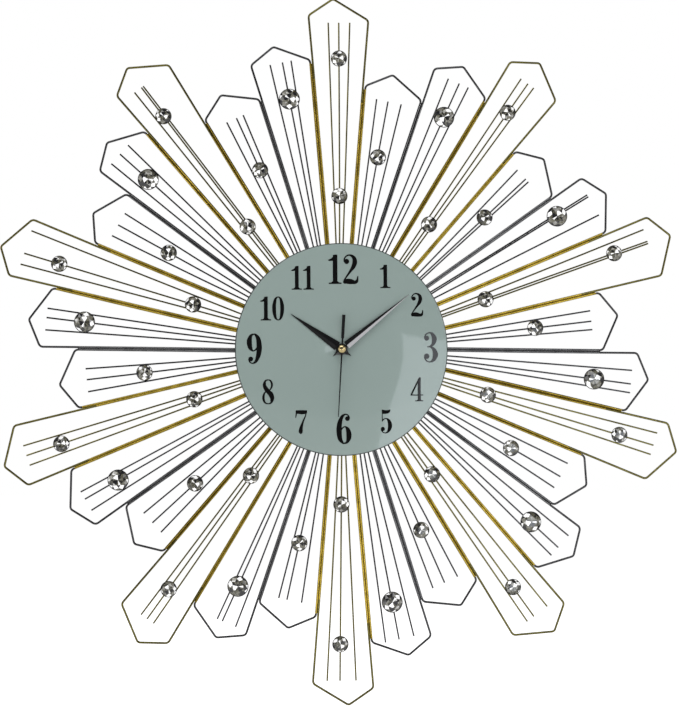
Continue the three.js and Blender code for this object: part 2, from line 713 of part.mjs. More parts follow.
function gearTrain() {
  const low = CASE_WALL - PIVOT_DEPTH + PLAY;
  const high = CASE_FRONT - CASE_WALL + PIVOT_DEPTH - PLAY;
  const underPlate = [low, TRAIN_PLATE.reach[1] - PLAY];
  const tubeProud = 0.6;
  const [rotorPinion, fifthWheel] = meshedPair(
    TEETH.rotorPinion, TEETH.fifthWheel, ROTOR_AXIS, FIFTH_AXIS, LAYER.fifth,
  );
  const [fifthPinion, secondWheel] = meshedPair(
    TEETH.fifthPinion, TEETH.secondWheel, FIFTH_AXIS, HANDS_AXIS, LAYER.second,
  );
  const [secondPinion, thirdWheel] = meshedPair(
    TEETH.secondPinion, TEETH.thirdWheel, HANDS_AXIS, THIRD_AXIS, LAYER.third,
  );
  const [thirdPinion, centreWheel] = meshedPair(
    TEETH.thirdPinion, TEETH.centreWheel, THIRD_AXIS, HANDS_AXIS, LAYER.centre, [0, MINUTE_TUBE[1] + GAP],
  );
  const [cannonPinion, settingWheel] = meshedPair(
    TEETH.cannonPinion, TEETH.settingWheel, HANDS_AXIS, SETTING_AXIS, LAYER.cannon, [MINUTE_TUBE[0], 0],
  );
  const [settingPinion, hourWheel] = meshedPair(
    TEETH.settingPinion, TEETH.hourWheel, SETTING_AXIS, HANDS_AXIS, LAYER.hour, [0, HOUR_TUBE[0]],
  );
  const magnet = bar(MAGNET.radius, MAGNET.reach, FINE_BORE_SIDES);
  const knobShape = gearShape(KNOB.flutes, KNOB.radius - 0.3, 0);
  const group = new THREE.Group();
  group.add(
    piece('rotor', FINISH.zincSteel, join(
      magnet, bar(ARBOR, underPlate, PIVOT_SIDES), rotorPinion,
    ), ROTOR_AXIS),
    piece('fifth_wheel', FINISH.clearPlastic, join(
      bar(ARBOR, underPlate, PIVOT_SIDES), fifthWheel, fifthPinion,
    ), FIFTH_AXIS),
    piece('second_wheel', FINISH.clearPlastic, join(
      bar(SECOND_ARBOR, [low, SECOND_HAND[1] - PLAY / 2], PIVOT_SIDES), secondWheel, secondPinion,
    )),
    piece('third_wheel', FINISH.clearPlastic, join(
      bar(ARBOR, [low, high], PIVOT_SIDES), thirdWheel, thirdPinion,
    ), THIRD_AXIS),
    piece('centre_wheel', FINISH.clearPlastic, centreWheel),
    piece('cannon_pinion', FINISH.brass, join(
      tube(MINUTE_TUBE, [LAYER.centre[0] - 2 * PLAY, MINUTE_HAND[1] + tubeProud]), cannonPinion,
    )),
    piece('setting_wheel', FINISH.clearPlastic, join(
      bar(SETTING_ARBOR, [KNOB.reach[1] + PLAY / 2, high]), settingWheel, settingPinion,
    ), SETTING_AXIS),
    piece('hour_wheel', FINISH.clearPlastic, join(
      tube(HOUR_TUBE, [LAYER.hour[0], HOUR_HAND[1] + tubeProud]), hourWheel,
    )),
    piece('setting_knob', FINISH.blackPlastic, sheet(knobShape, KNOB.reach), SETTING_AXIS),
  );
  return group;
}

// ---- Hands ----

// A tapered blade on a round boss, with a short pointed tail that is hollowed at its sides.
function bladeShape({ length, halfWidth }, bore) {
  const bossSteps = 4;
  const heel = Math.sqrt(HAND_BOSS ** 2 - halfWidth ** 2);
  const bossStart = Math.atan2(heel, halfWidth);
  const bossEnd = Math.atan2(TAIL.base[1], TAIL.base[0]);
  const side = [[BLADE_TIP, length], [halfWidth, heel + 2]];
  for (let i = 0; i <= bossSteps; i += 1) {
    const angle = THREE.MathUtils.lerp(bossStart, bossEnd, i / bossSteps);
    side.push([HAND_BOSS * Math.cos(angle), HAND_BOSS * Math.sin(angle)]);
  }
  side.push(TAIL.waist, [TAIL.point, -TAIL.tip]);
  const mirrored = side.map(([x, y]) => [-x, y]).reverse();
  const shape = polygon([...side, ...mirrored]);
  shape.holes.push(circle(bore, HANDS_AXIS, FINE_BORE_SIDES));
  return shape;
}

// The needle points along +y, and the counterweight is a bar behind the boss.
function secondHand() {
  const { root, tip, length, boss: bossRadius } = NEEDLE;
  const { neck, near, far, from, to } = COUNTERWEIGHT;
  const overlap = bossRadius - 1;
  const boss = new THREE.Shape(circle(bossRadius, HANDS_AXIS, ROUND_SIDES).getPoints());
  boss.holes.push(circle(SECOND_ARBOR + PLAY, HANDS_AXIS, PIVOT_SIDES));
  const needle = polygon([[root, overlap], [tip, length], [-tip, length], [-root, overlap]]);
  const weight = polygon([
    [-neck, -overlap], [-neck, -from], [-near, -from], [-far, -to],
    [far, -to], [near, -from], [neck, -from], [neck, -overlap],
  ]);
  return join(sheet(boss, SECOND_HAND), sheet(needle, SECOND_HAND), sheet(weight, SECOND_HAND));
}

// A quarter of an ellipse over a short skirt, turned about the axis.
function secondHandBoss() {
  const [back, front] = BOSS;
  const domeSteps = 4;
  const base = back + DOME.skirt;
  const corners = [[0, back], [DOME.radius, back]];
  for (let i = 0; i < domeSteps; i += 1) {
    const angle = (Math.PI / 2) * (i / domeSteps);
    corners.push([DOME.radius * Math.cos(angle), base + (front - base) * Math.sin(angle)]);
  }
  corners.push([0, front]);
  return turned(corners, ROUND_SIDES);
}

function pointed(mesh, bearing) {
  mesh.rotation.y = radians(bearing);
  return mesh;
}

function hands() {
  const group = new THREE.Group();
  const hour = sheet(bladeShape(HOUR_BLADE, HOUR_TUBE[1] + PLAY), HOUR_HAND);
  const minute = sheet(bladeShape(MINUTE_BLADE, MINUTE_TUBE[1] + PLAY), MINUTE_HAND);
  group.add(
    pointed(piece('hour_hand', FINISH.blackPaint, hour), HOUR_BLADE.bearing),
    pointed(piece('minute_hand', FINISH.blackPaint, minute), MINUTE_BLADE.bearing),
    pointed(piece('second_hand', FINISH.blackPaint, secondHand()), NEEDLE.bearing),
    piece('second_hand_boss', FINISH.brass, secondHandBoss()),
  );
  return group;
}

const clock = new THREE.Group();
clock.add(petals(), fixings(), movementCase(), gearTrain(), hands());

export default clock;
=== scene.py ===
"""Looks of the sunburst wall clock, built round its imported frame.

A shape is worked out in millimetres and becomes a mesh in metres, in the frame's own axes:
+Z is up, the dial faces -Y and the wall is the plane y = 0. A standoff is a distance from
the wall, and a bearing is an angle clockwise from twelve o'clock, in degrees.
"""

import logging
import math
from dataclasses import dataclass, field
from enum import Enum
from typing import Callable

import bmesh
import bpy
import numpy as np
from mathutils import Matrix, Vector


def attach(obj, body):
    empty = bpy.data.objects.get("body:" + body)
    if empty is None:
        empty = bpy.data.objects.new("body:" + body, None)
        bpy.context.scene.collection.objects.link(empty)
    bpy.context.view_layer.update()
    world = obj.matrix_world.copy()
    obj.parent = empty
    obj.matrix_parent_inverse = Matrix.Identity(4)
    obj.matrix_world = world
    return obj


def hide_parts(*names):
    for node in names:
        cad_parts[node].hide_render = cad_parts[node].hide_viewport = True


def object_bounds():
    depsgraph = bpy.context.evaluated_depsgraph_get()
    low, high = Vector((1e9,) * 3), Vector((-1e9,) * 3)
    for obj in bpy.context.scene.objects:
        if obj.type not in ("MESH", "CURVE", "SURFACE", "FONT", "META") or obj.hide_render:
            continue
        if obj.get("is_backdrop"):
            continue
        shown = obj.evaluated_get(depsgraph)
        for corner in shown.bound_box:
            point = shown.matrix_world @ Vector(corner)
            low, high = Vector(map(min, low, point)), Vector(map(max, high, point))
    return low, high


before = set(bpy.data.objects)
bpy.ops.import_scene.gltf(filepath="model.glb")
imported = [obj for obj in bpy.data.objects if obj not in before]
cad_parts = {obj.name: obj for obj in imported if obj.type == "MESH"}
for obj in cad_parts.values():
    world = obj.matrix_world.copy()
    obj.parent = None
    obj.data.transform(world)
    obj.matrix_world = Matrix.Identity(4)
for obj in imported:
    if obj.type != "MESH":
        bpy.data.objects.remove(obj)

LOG = logging.getLogger("clock")
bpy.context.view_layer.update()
IMAGE_SIDES = (679, 708)
MM = 0.001
WELD = 1e-7
CLOCK = "clock"

Array = np.ndarray
Shell = tuple[Array, list[Array]]


# ---- Surfaces ----


def grid_faces(rows: int, columns: int, round_rows: bool = False, round_columns: bool = True) -> Array:
    """Quads of a grid of points: (i, j), (i, j + 1), (i + 1, j + 1), (i + 1, j).

    Args:
        rows: number of rows of points.
        columns: number of points in a row.
        round_rows: whether the last row joins the first.
        round_columns: whether the last column joins the first.

    Returns:
        Point numbers, four to a face.
    """
    i = np.arange(rows if round_rows else rows - 1)[:, None]
    j = np.arange(columns if round_columns else columns - 1)[None, :]
    down, right = (i + 1) % rows, (j + 1) % columns
    corners = [i * columns + j, i * columns + right, down * columns + right, down * columns + j]
    return np.stack(corners, -1).reshape(-1, 4)


def unit(vectors: Array) -> Array:
    """The vectors at length one: v / |v|."""
    return vectors / np.linalg.norm(vectors, axis=-1, keepdims=True)


def softened(corners: Array, cuts: Array | float, steps: int = 6, closed: bool = False) -> Array:
    """A line through corners with each one rounded off.

    Between a = corner + cut towards the last one and b = corner + cut towards the next,
    the round is (1 - t)^2 a + 2 t (1 - t) corner + t^2 b.

    Args:
        corners: the points, one row each.
        cuts: how far from each corner its round starts.
        steps: points on each round, less one.
        closed: whether the line returns to its start. An open line keeps its two ends.

    Returns:
        The points of the rounded line.
    """
    inner = corners if closed else corners[1:-1]
    before = np.roll(corners, 1, 0) if closed else corners[:-2]
    after = np.roll(corners, -1, 0) if closed else corners[2:]
    cut = np.broadcast_to(np.asarray(cuts, float), (len(inner),))[:, None]
    start = inner + unit(before - inner) * cut
    end = inner + unit(after - inner) * cut
    t = np.linspace(0, 1, steps + 1)[None, :, None]
    rounds = (1 - t) ** 2 * start[:, None] + 2 * t * (1 - t) * inner[:, None] + t**2 * end[:, None]
    line = rounds.reshape(-1, corners.shape[1])
    return line if closed else np.concatenate([corners[:1], line, corners[-1:]])


def spline(points: Array, steps: int = 8) -> Array:
    """A smooth line through points (Catmull-Rom): each span is the cubic whose slope at a
    point is half the step between that point's neighbours.

    Args:
        points: the points, one row each, with any number of columns.
        steps: points to a span.

    Returns:
        The points of the line.
    """
    ends = np.concatenate([2 * points[:1] - points[1:2], points, 2 * points[-1:] - points[-2:-1]])
    a, b, c, d = ends[:-3, None], ends[1:-2, None], ends[2:-1, None], ends[3:, None]
    t = np.linspace(0, 1, steps, endpoint=False)[None, :, None]
    spans = 0.5 * (2 * b + (c - a) * t + (2 * a - 5 * b + 4 * c - d) * t**2 + (3 * b - a - 3 * c + d) * t**3)
    return np.concatenate([spans.reshape(-1, points.shape[1]), points[-1:]])


def rod(path: Array, radius: float, sides: int = 12) -> Shell:
    """A round rod along a path that lies across the hands' direction, its ends cut square.

    P(s, a) = path(s) + r(s) (cos a n(s) + sin a y), n being square to the path and to y.

    Args:
        path: the centre line, millimetres.
        radius: of the rod.
        sides: points round it.

    Returns:
        The rod's points and faces. The faces run along the path, one ring after another.
    """
    tangent = unit(np.gradient(path, axis=0))
    chamfer = 0.2 * radius
    line = np.concatenate([path[:1], path[:1], path[:1] + tangent[:1] * chamfer, path[1:-1],
                           path[-1:] - tangent[-1:] * chamfer, path[-1:], path[-1:]])
    ahead = np.concatenate([tangent[:1]] * 3 + [tangent[1:-1]] + [tangent[-1:]] * 3)
    size = np.full(len(line), radius)
    size[[0, -1]], size[[1, -2]] = 0, 0.8 * radius
    angle = np.linspace(0, 2 * np.pi, sides, endpoint=False)[None, :, None]
    side = np.cross(ahead, [0, 1, 0])[:, None]
    ring = np.cos(angle) * side + np.sin(angle) * np.array([0, 1, 0])
    points = line[:, None] + size[:, None, None] * ring
    return points.reshape(-1, 3), [grid_faces(len(line), sides)]


class Axis(Enum):
    """The direction that a turned piece's axis has."""

    HANDS = "hands"
    ACROSS = "across"


def turned(profile: Array, sides: int, centre: tuple[float, float] = (0, 0),
           axis: Axis = Axis.HANDS) -> Shell:
    """A piece turned about an axis: P(a, k) = centre + radius(k) (cos a, sin a) at height(k).

    Args:
        profile: [radius, height] rows. Heights are standoffs, or x for an axis across. A
            profile off the axis is closed on itself.
        sides: points round it.
        centre: x and z of the axis, or standoff and z for an axis across.
        axis: the axis's direction.

    Returns:
        The piece's points and faces.
    """
    radius, height = profile[:, 0][:, None], profile[:, 1][:, None]
    angle = np.linspace(0, 2 * np.pi, sides, endpoint=False)[None, :]
    first, second = radius * np.cos(angle), radius * np.sin(angle)
    level = np.broadcast_to(height, first.shape)
    if axis is Axis.HANDS:
        points = np.stack([centre[0] + first, -level, centre[1] + second], -1)
    else:
        points = np.stack([level, -centre[0] + first, centre[1] + second], -1)
    ring = bool((profile[:, 0] > 1e-9).all())
    return points.reshape(-1, 3), [grid_faces(len(profile), sides, round_rows=ring)]


def plate(outline: Array, back: float, front: float, soft: float = 0.0) -> Shell:
    """A flat plate, P = outline between two standoffs, its front edge turned down by soft.

    Args:
        outline: [x, z] rows round the plate.
        back: standoff of its back.
        front: standoff of its front.
        soft: width and depth of the chamfer round the front.

    Returns:
        The plate's points and faces.
    """
    middle = outline.mean(0)
    inset = outline - unit(outline - middle) * soft
    levels = [(outline, back), (outline, front - soft), (inset, front)]
    points = np.concatenate([np.stack([o[:, 0], np.full(len(o), -s), o[:, 1]], -1) for o, s in levels])
    count = len(outline)
    ends = [np.arange(count)[None, ::-1], 2 * count + np.arange(count)[None, :]]
    return points, [grid_faces(3, count), *ends]


def ribbon(line: Array, back: float, front: float, closed: bool = False) -> Shell:
    """A flat stroke: P = line +- half width times the normal, between two standoffs.

    Args:
        line: [x, z, half width] rows.
        back: standoff of its back.
        front: standoff of its front.
        closed: whether the stroke joins its own start.

    Returns:
        The stroke's points and faces.
    """
    place = line[:, :2]
    if closed:
        tangent = unit(np.roll(place, -1, 0) - np.roll(place, 1, 0))
    else:
        tangent = unit(np.gradient(place, axis=0))
    across = np.stack([tangent[:, 1], -tangent[:, 0]], -1) * line[:, 2:3]
    left, right = place - across, place + across
    corners = [(left, back), (right, back), (right, front), (left, front)]
    points = np.stack([np.stack([p[:, 0], np.full(len(p), -s), p[:, 1]], -1) for p, s in corners], 1)
    faces = [grid_faces(len(line), 4, round_rows=closed)]
    if not closed:
        last = 4 * (len(line) - 1)
        faces += [np.array([[3, 2, 1, 0]]), np.array([[last, last + 1, last + 2, last + 3]])]
    return points.reshape(-1, 3), faces


def turn_by(points: Array, bearing: float) -> Array:
    """The points turned clockwise about the hands' axis: x cos b + z sin b, z cos b - x sin b."""
    b = math.radians(bearing)
    x, y, z = points.T
    return np.stack([x * math.cos(b) + z * math.sin(b), y, z * math.cos(b) - x * math.sin(b)], -1)


class Skin:
    """One piece in the making: closed shells that become a single mesh."""

    def __init__(self, name: str) -> None:
        """Starts an empty piece of that name."""
        self.name = name
        self.points: list[Array] = []
        self.faces: list[Array] = []
        self.finish: list[Array] = []
        self.tone: list[Array] = []
        self.count = 0

    def add(self, shell: Shell, finish: int | Array = 0, tone: Array | float = 0.0) -> "Skin":
        """Adds a shell.

        Args:
            shell: points in millimetres, and faces.
            finish: number of the finish, one for all or one for each face.
            tone: a value from 0 to 1 for all or for each face, read by a finish.

        Returns:
            The piece itself.
        """
        points, faces = shell
        total = sum(len(f) for f in faces)
        self.faces += [f + self.count for f in faces]
        self.points.append(points)
        self.finish.append(np.broadcast_to(np.asarray(finish, np.int32), (total,)))
        self.tone.append(np.broadcast_to(np.asarray(tone, np.float32), (total,)))
        self.count += len(points)
        return self

    def build(self, finishes: list[bpy.types.Material], crease: float | None = 35.0) -> bpy.types.Object:
        """Makes the mesh, welds its seams and poles, and turns its faces outwards.

        Args:
            finishes: materials, in the order of their numbers.
            crease: the angle in degrees past which an edge is sharp, or None for flat faces.

        Returns:
            The object, at the origin.
        """
        mesh = bpy.data.meshes.new(self.name)
        points = (np.concatenate(self.points) * MM).astype(np.float32)
        mesh.vertices.add(len(points))
        mesh.vertices.foreach_set("co", points.ravel())
        totals = np.concatenate([np.full(len(f), f.shape[1], np.int32) for f in self.faces])
        loops = np.concatenate([f.ravel() for f in self.faces]).astype(np.int32)
        mesh.loops.add(len(loops))
        mesh.loops.foreach_set("vertex_index", loops)
        mesh.polygons.add(len(totals))
        starts = np.concatenate([[0], np.cumsum(totals)[:-1]]).astype(np.int32)
        mesh.polygons.foreach_set("loop_start", starts)
        mesh.polygons.foreach_set("loop_total", totals)
        mesh.polygons.foreach_set("material_index", np.concatenate(self.finish))
        tone = mesh.attributes.new("tone", "FLOAT", "FACE")
        tone.data.foreach_set("value", np.concatenate(self.tone))
        mesh.update(calc_edges=True)
        mesh.validate()
        work = bmesh.new()
        work.from_mesh(mesh)
        bmesh.ops.remove_doubles(work, verts=work.verts, dist=WELD)
        bmesh.ops.recalc_face_normals(work, faces=work.faces)
        work.to_mesh(mesh)
        work.free()
        mesh.polygons.foreach_set("use_smooth", np.full(len(mesh.polygons), crease is not None))
        if crease is not None:
            mesh.set_sharp_from_angle(angle=math.radians(crease))
        for material in finishes:
            mesh.materials.append(material)
        made = bpy.data.objects.new(self.name, mesh)
        bpy.context.scene.collection.objects.link(made)
        return made


def place(obj: bpy.types.Object, body: str, slot: str | None = None,
          stands_for: tuple[str, ...] = ()) -> None:
    """Hands a finished piece to the frame and reports it.

    Args:
        obj: the piece.
        body: the CAD body that it moves with.
        slot: the record's material slot, if it has one; not used.
        stands_for: CAD nodes that it takes the place of.
    """
    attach(obj, body)
    if stands_for:
        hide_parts(*stands_for)
    LOG.info("%s: %d faces, rides on %s", obj.name, len(obj.data.polygons), body)


# ---- Finishes ----


def node_group(name: str, inputs: dict[str, tuple[str, object]],
               outputs: dict[str, str]) -> bpy.types.NodeTree:
    """An empty shader group with named sockets.

    Args:
        name: of the group.
        inputs: socket kind and first value by name.
        outputs: socket kind by name.

    Returns:
        The group, holding only its input and output nodes.
    """
    tree = bpy.data.node_groups.new(name, "ShaderNodeTree")
    for label, (kind, value) in inputs.items():
        socket = tree.interface.new_socket(label, in_out="INPUT", socket_type=kind)
        socket.default_value = value
    for label, kind in outputs.items():
        tree.interface.new_socket(label, in_out="OUTPUT", socket_type=kind)
    tree.nodes.new("NodeGroupInput").name = "in"
    tree.nodes.new("NodeGroupOutput").name = "out"
    return tree


class Bench:
    """Lays nodes in a tree: each call adds one node and joins what feeds it."""

    def __init__(self, tree: bpy.types.NodeTree) -> None:
        """Works on one tree."""
        self.tree = tree

    def add(self, kind: str, settings: dict[str, object] | None = None, **feeds: object) -> bpy.types.Node:
        """Adds a node.

        Args:
            kind: the node's type name.
            settings: attributes of the node.
            feeds: input socket names, with _ for a space, or i0, i1 for numbered inputs; each
                with a value or an output socket.

        Returns:
            The node.
        """
        node = self.tree.nodes.new(kind)
        for key, value in (settings or {}).items():
            setattr(node, key, value)
        for key, value in feeds.items():
            numbered = key[0] == "i" and key[1:].isdigit()
            socket = node.inputs[int(key[1:])] if numbered else node.inputs[key.replace("_", " ")]
            if isinstance(value, bpy.types.NodeSocket):
                self.tree.links.new(value, socket)
            else:
                socket.default_value = value
        return node

    def math(self, operation: str, first: object, second: object = 0.0) -> bpy.types.NodeSocket:
        """One sum, as the socket of its answer."""
        return self.add("ShaderNodeMath", {"operation": operation}, i0=first, i1=second).outputs[0]

    def spread(self, value: object, low: float, high: float, to_low: float,
               to_high: float) -> bpy.types.NodeSocket:
        """A value moved from one span to another and kept inside it."""
        node = self.add("ShaderNodeMapRange", {"clamp": True}, Value=value, From_Min=low, From_Max=high,
                        To_Min=to_low, To_Max=to_high)
        return node.outputs[0]

    def mix(self, share: object, first: object, second: object) -> bpy.types.NodeSocket:
        """Two colours mixed by a share."""
        node = self.add("ShaderNodeMix", {"data_type": "RGBA"})
        for number, value in ((0, share), (6, first), (7, second)):
            if isinstance(value, bpy.types.NodeSocket):
                self.tree.links.new(value, node.inputs[number])
            else:
                node.inputs[number].default_value = value
        return node.outputs[2]


def grain_group() -> bpy.types.NodeTree:
    """Fine grain, two sizes of cloud and a speckle: a colour between two, a roughness
    between two and a height, all from object coordinates."""
    tree = node_group(
        "surface_grain",
        {"Light": ("NodeSocketColor", (1, 1, 1, 1)), "Dark": ("NodeSocketColor", (0, 0, 0, 1)),
         "Cloud Scale": ("NodeSocketFloat", 60.0), "Grain Scale": ("NodeSocketFloat", 900.0),
         "Smooth": ("NodeSocketFloat", 0.2), "Rough": ("NodeSocketFloat", 0.4),
         "Stretch": ("NodeSocketVector", (1.0, 1.0, 1.0))},
        {"Color": "NodeSocketColor", "Roughness": "NodeSocketFloat", "Height": "NodeSocketFloat"},
    )
    bench = Bench(tree)
    feed, out = tree.nodes["in"].outputs, tree.nodes["out"].inputs
    place_of = bench.add("ShaderNodeTexCoord").outputs["Object"]
    drawn = bench.add("ShaderNodeVectorMath", {"operation": "MULTIPLY"}, i0=place_of,
                      i1=feed["Stretch"]).outputs[0]
    cloud = bench.add("ShaderNodeTexNoise", Vector=drawn, Scale=feed["Cloud Scale"], Detail=3.0).outputs[0]
    grain = bench.add("ShaderNodeTexNoise", Vector=drawn, Scale=feed["Grain Scale"], Detail=2.0).outputs[0]
    share = bench.spread(cloud, 0.35, 0.7, 0.0, 0.75)
    speck = bench.spread(grain, 0.55, 0.75, 0.0, 0.35)
    tree.links.new(bench.mix(bench.math("ADD", share, speck), feed["Light"], feed["Dark"]), out["Color"])
    span = bench.math("SUBTRACT", feed["Rough"], feed["Smooth"])
    worn = bench.math("MULTIPLY", bench.math("ADD", share, speck), span)
    tree.links.new(bench.math("ADD", feed["Smooth"], worn), out["Roughness"])
    tree.links.new(bench.math("ADD", bench.math("MULTIPLY", cloud, 0.4), grain), out["Height"])
    return tree


def edge_group() -> bpy.types.NodeTree:
    """Rubbed edges: how far the surface bends at a point, as a mask."""
    tree = node_group("rubbed_edges", {"Amount": ("NodeSocketFloat", 0.5)}, {"Mask": "NodeSocketFloat"})
    bench = Bench(tree)
    bend = bench.add("ShaderNodeNewGeometry").outputs["Pointiness"]
    patches = bench.add("ShaderNodeTexNoise", Vector=bench.add("ShaderNodeTexCoord").outputs["Object"],
                        Scale=350.0, Detail=3.0).outputs[0]
    sharp = bench.spread(bend, 0.52, 0.6, 0.0, 1.0)
    mask = bench.math("MULTIPLY", bench.math("MULTIPLY", sharp, patches), tree.nodes["in"].outputs["Amount"])
    tree.links.new(mask, tree.nodes["out"].inputs["Mask"])
    return tree


def principled(name: str) -> tuple[bpy.types.Material, Bench, bpy.types.Node]:
    """A new material with a bare Principled shader.

    Args:
        name: of the material.

    Returns:
        The material, a bench on its tree, and the shader.
    """
    material = bpy.data.materials.new(name)
    material.use_nodes = True
    return material, Bench(material.node_tree), material.node_tree.nodes["Principled BSDF"]


Colour = tuple[float, float, float]


def solid(colour: Colour) -> tuple[float, float, float, float]:
    """A colour with full alpha."""
    return (*colour, 1.0)


@dataclass(frozen=True)
class GrainedFinish:
    """A finish that shows through its grain: metals, paints and plastics."""

    name: str
    light: Colour
    dark: Colour
    smooth: float
    rough: float
    metal: float = 0.0
    cloud: float = 60.0
    grain: float = 900.0
    stretch: Colour = (1.0, 1.0, 1.0)
    bump: float = 0.06
    depth: float = 0.00005
    coat: float = 0.0
    rubbed: Colour | None = None
    rub: float = 0.0
    specular: float = 0.5

    def build(self) -> bpy.types.Material:
        """Makes the material."""
        material, bench, shader = principled(self.name)
        tree = bench.tree
        grain = bench.add("ShaderNodeGroup", {"node_tree": bpy.data.node_groups["surface_grain"]},
                          Light=solid(self.light), Dark=solid(self.dark), Cloud_Scale=self.cloud,
                          Grain_Scale=self.grain, Smooth=self.smooth, Rough=self.rough, Stretch=self.stretch)
        colour = grain.outputs["Color"]
        if self.rubbed:
            edges = bench.add("ShaderNodeGroup", {"node_tree": bpy.data.node_groups["rubbed_edges"]},
                              Amount=self.rub)
            colour = bench.mix(edges.outputs["Mask"], colour, solid(self.rubbed))
        tree.links.new(colour, shader.inputs["Base Color"])
        tree.links.new(grain.outputs["Roughness"], shader.inputs["Roughness"])
        bump = bench.add("ShaderNodeBump", Strength=self.bump, Distance=self.depth,
                         Height=grain.outputs["Height"])
        tree.links.new(bump.outputs[0], shader.inputs["Normal"])
        shader.inputs["Metallic"].default_value = self.metal
        shader.inputs["Coat Weight"].default_value = self.coat
        shader.inputs["Coat Roughness"].default_value = 0.04
        shader.inputs["Specular IOR Level"].default_value = self.specular
        return material


@dataclass(frozen=True)
class CrystalFinish:
    """Foil-backed crystal with painted reflections: each facet has its own tone, from dark
    through olive grey to white, standing for what it reflects, with painted glints in white,
    a painted glow from emission of the same colour, and clear gloss over it."""

    name: str = "foiled_crystal"
    dark: Colour = (0.008, 0.008, 0.01)
    olive: Colour = (0.11, 0.105, 0.072)
    grey: Colour = (0.24, 0.235, 0.22)
    white: Colour = (1.0, 1.0, 1.0)
    painted_glow: float = 0.35

    def build(self) -> bpy.types.Material:
        """Makes the material."""
        material, bench, shader = principled(self.name)
        tree = bench.tree
        # The tone attribute is each facet's painted reflection; random flecks shift it a little.
        tone = bench.add("ShaderNodeAttribute", {"attribute_name": "tone"}).outputs["Fac"]
        place_of = bench.add("ShaderNodeTexCoord").outputs["Object"]
        flecks = bench.add("ShaderNodeTexVoronoi", {"feature": "F1"}, Vector=place_of, Scale=420.0)
        fleck = bench.add("ShaderNodeSeparateColor", Color=flecks.outputs["Color"]).outputs[0]
        value = bench.math("ADD", tone, bench.spread(fleck, 0.0, 1.0, -0.16, 0.16))
        ramp = bench.add("ShaderNodeValToRGB", Fac=value)
        ramp.color_ramp.interpolation = "LINEAR"
        stops = ramp.color_ramp.elements
        stops[0].position, stops[0].color = 0.18, solid(self.dark)
        stops[1].position, stops[1].color = 0.78, solid(self.white)
        for position, colour in ((0.38, self.olive), (0.6, self.grey)):
            stop = stops.new(position)
            stop.color = solid(colour)
        tree.links.new(ramp.outputs[0], shader.inputs["Base Color"])
        # The same tones feed emission: a painted glow, so the crystals shine without a lamp.
        tree.links.new(ramp.outputs[0], shader.inputs["Emission Color"])
        shader.inputs["Emission Strength"].default_value = self.painted_glow
        tree.links.new(bench.spread(value, 0.0, 1.0, 0.04, 0.16), shader.inputs["Roughness"])
        shader.inputs["Metallic"].default_value = 0.1
        shader.inputs["Coat Weight"].default_value = 1.0
        shader.inputs["Coat Roughness"].default_value = 0.02
        return material


@dataclass(frozen=True)
class DialFinish:
    """Back-painted glass: sage enamel under a deep gloss, with a near-black band painted round the rim as
    shade where the edge turns away; the ground edge there is also rougher.
    """

    name: str = "sage_glass"
    enamel: Colour = (0.31, 0.385, 0.36)
    shade: Colour = (0.29, 0.362, 0.34)
    # edge: near-black painted round the rim, as shade where the edge turns away.
    edge: Colour = (0.02, 0.03, 0.028)
    rim_shade_from: float = 103.8
    rim_shade_to: float = 104.3

    def build(self) -> bpy.types.Material:
        """Makes the material. The share of the painted rim shade, which also roughens the ground edge, rises
        with x^2 + z^2 between two radii.
        """
        material, bench, shader = principled(self.name)
        tree = bench.tree
        place_of = bench.add("ShaderNodeTexCoord").outputs["Object"]
        flat = bench.add("ShaderNodeVectorMath", {"operation": "MULTIPLY"}, i0=place_of, i1=(1.0, 0.0, 1.0))
        radius = bench.add("ShaderNodeVectorMath", {"operation": "LENGTH"},
                           i0=flat.outputs[0]).outputs["Value"]
        ground = bench.spread(radius, self.rim_shade_from * MM, self.rim_shade_to * MM, 0.0, 1.0)
        cloud = bench.add("ShaderNodeTexNoise", Vector=place_of, Scale=9.0, Detail=2.0).outputs[0]
        speck = bench.add("ShaderNodeTexNoise", Vector=place_of, Scale=1500.0, Detail=1.0).outputs[0]
        enamel = bench.mix(cloud, solid(self.enamel), solid(self.shade))
        # The rim mix paints shade: near-black over the enamel at the very edge.
        tree.links.new(bench.mix(ground, enamel, solid(self.edge)), shader.inputs["Base Color"])
        ground_rough = bench.spread(ground, 0.0, 1.0, 0.0, 0.25)
        rough = bench.math("ADD", bench.spread(speck, 0.4, 0.7, 0.16, 0.2), ground_rough)
        tree.links.new(rough, shader.inputs["Roughness"])
        bump = bench.add("ShaderNodeBump", Strength=0.02, Distance=0.0001, Height=cloud)
        tree.links.new(bump.outputs[0], shader.inputs["Normal"])
        shader.inputs["Coat Weight"].default_value = 1.0
        shader.inputs["Coat Roughness"].default_value = 0.035
        shader.inputs["Specular IOR Level"].default_value = 0.15
        return material


@dataclass(frozen=True)
class WrapFinish:
    """A cell's printed sleeve: a dark body, a bright band at its positive end and fine rules."""

    name: str = "cell_sleeve"
    body: Colour = (0.03, 0.07, 0.2)
    band: Colour = (0.62, 0.62, 0.6)
    band_from: float = 9.0

    def build(self) -> bpy.types.Material:
        """Makes the material. The band covers x above a line, and a rule follows each side."""
        material, bench, shader = principled(self.name)
        tree = bench.tree
        place_of = bench.add("ShaderNodeTexCoord").outputs["Object"]
        along = bench.add("ShaderNodeSeparateXYZ", Vector=place_of).outputs[0]
        banded = bench.spread(along, self.band_from * MM, (self.band_from + 0.2) * MM, 0.0, 1.0)
        wave = bench.math("SINE", bench.math("MULTIPLY", along, 2400.0))
        rules = bench.math("MULTIPLY", bench.spread(wave, 0.93, 0.97, 0.0, 0.35), banded)
        colour = bench.mix(banded, solid(self.body), solid(self.band))
        grain = bench.add("ShaderNodeTexNoise", Vector=place_of, Scale=700.0, Detail=2.0).outputs[0]
        tree.links.new(bench.mix(rules, colour, solid(self.body)), shader.inputs["Base Color"])
        tree.links.new(bench.spread(grain, 0.3, 0.7, 0.18, 0.32), shader.inputs["Roughness"])
        shader.inputs["Coat Weight"].default_value = 0.6
        return material


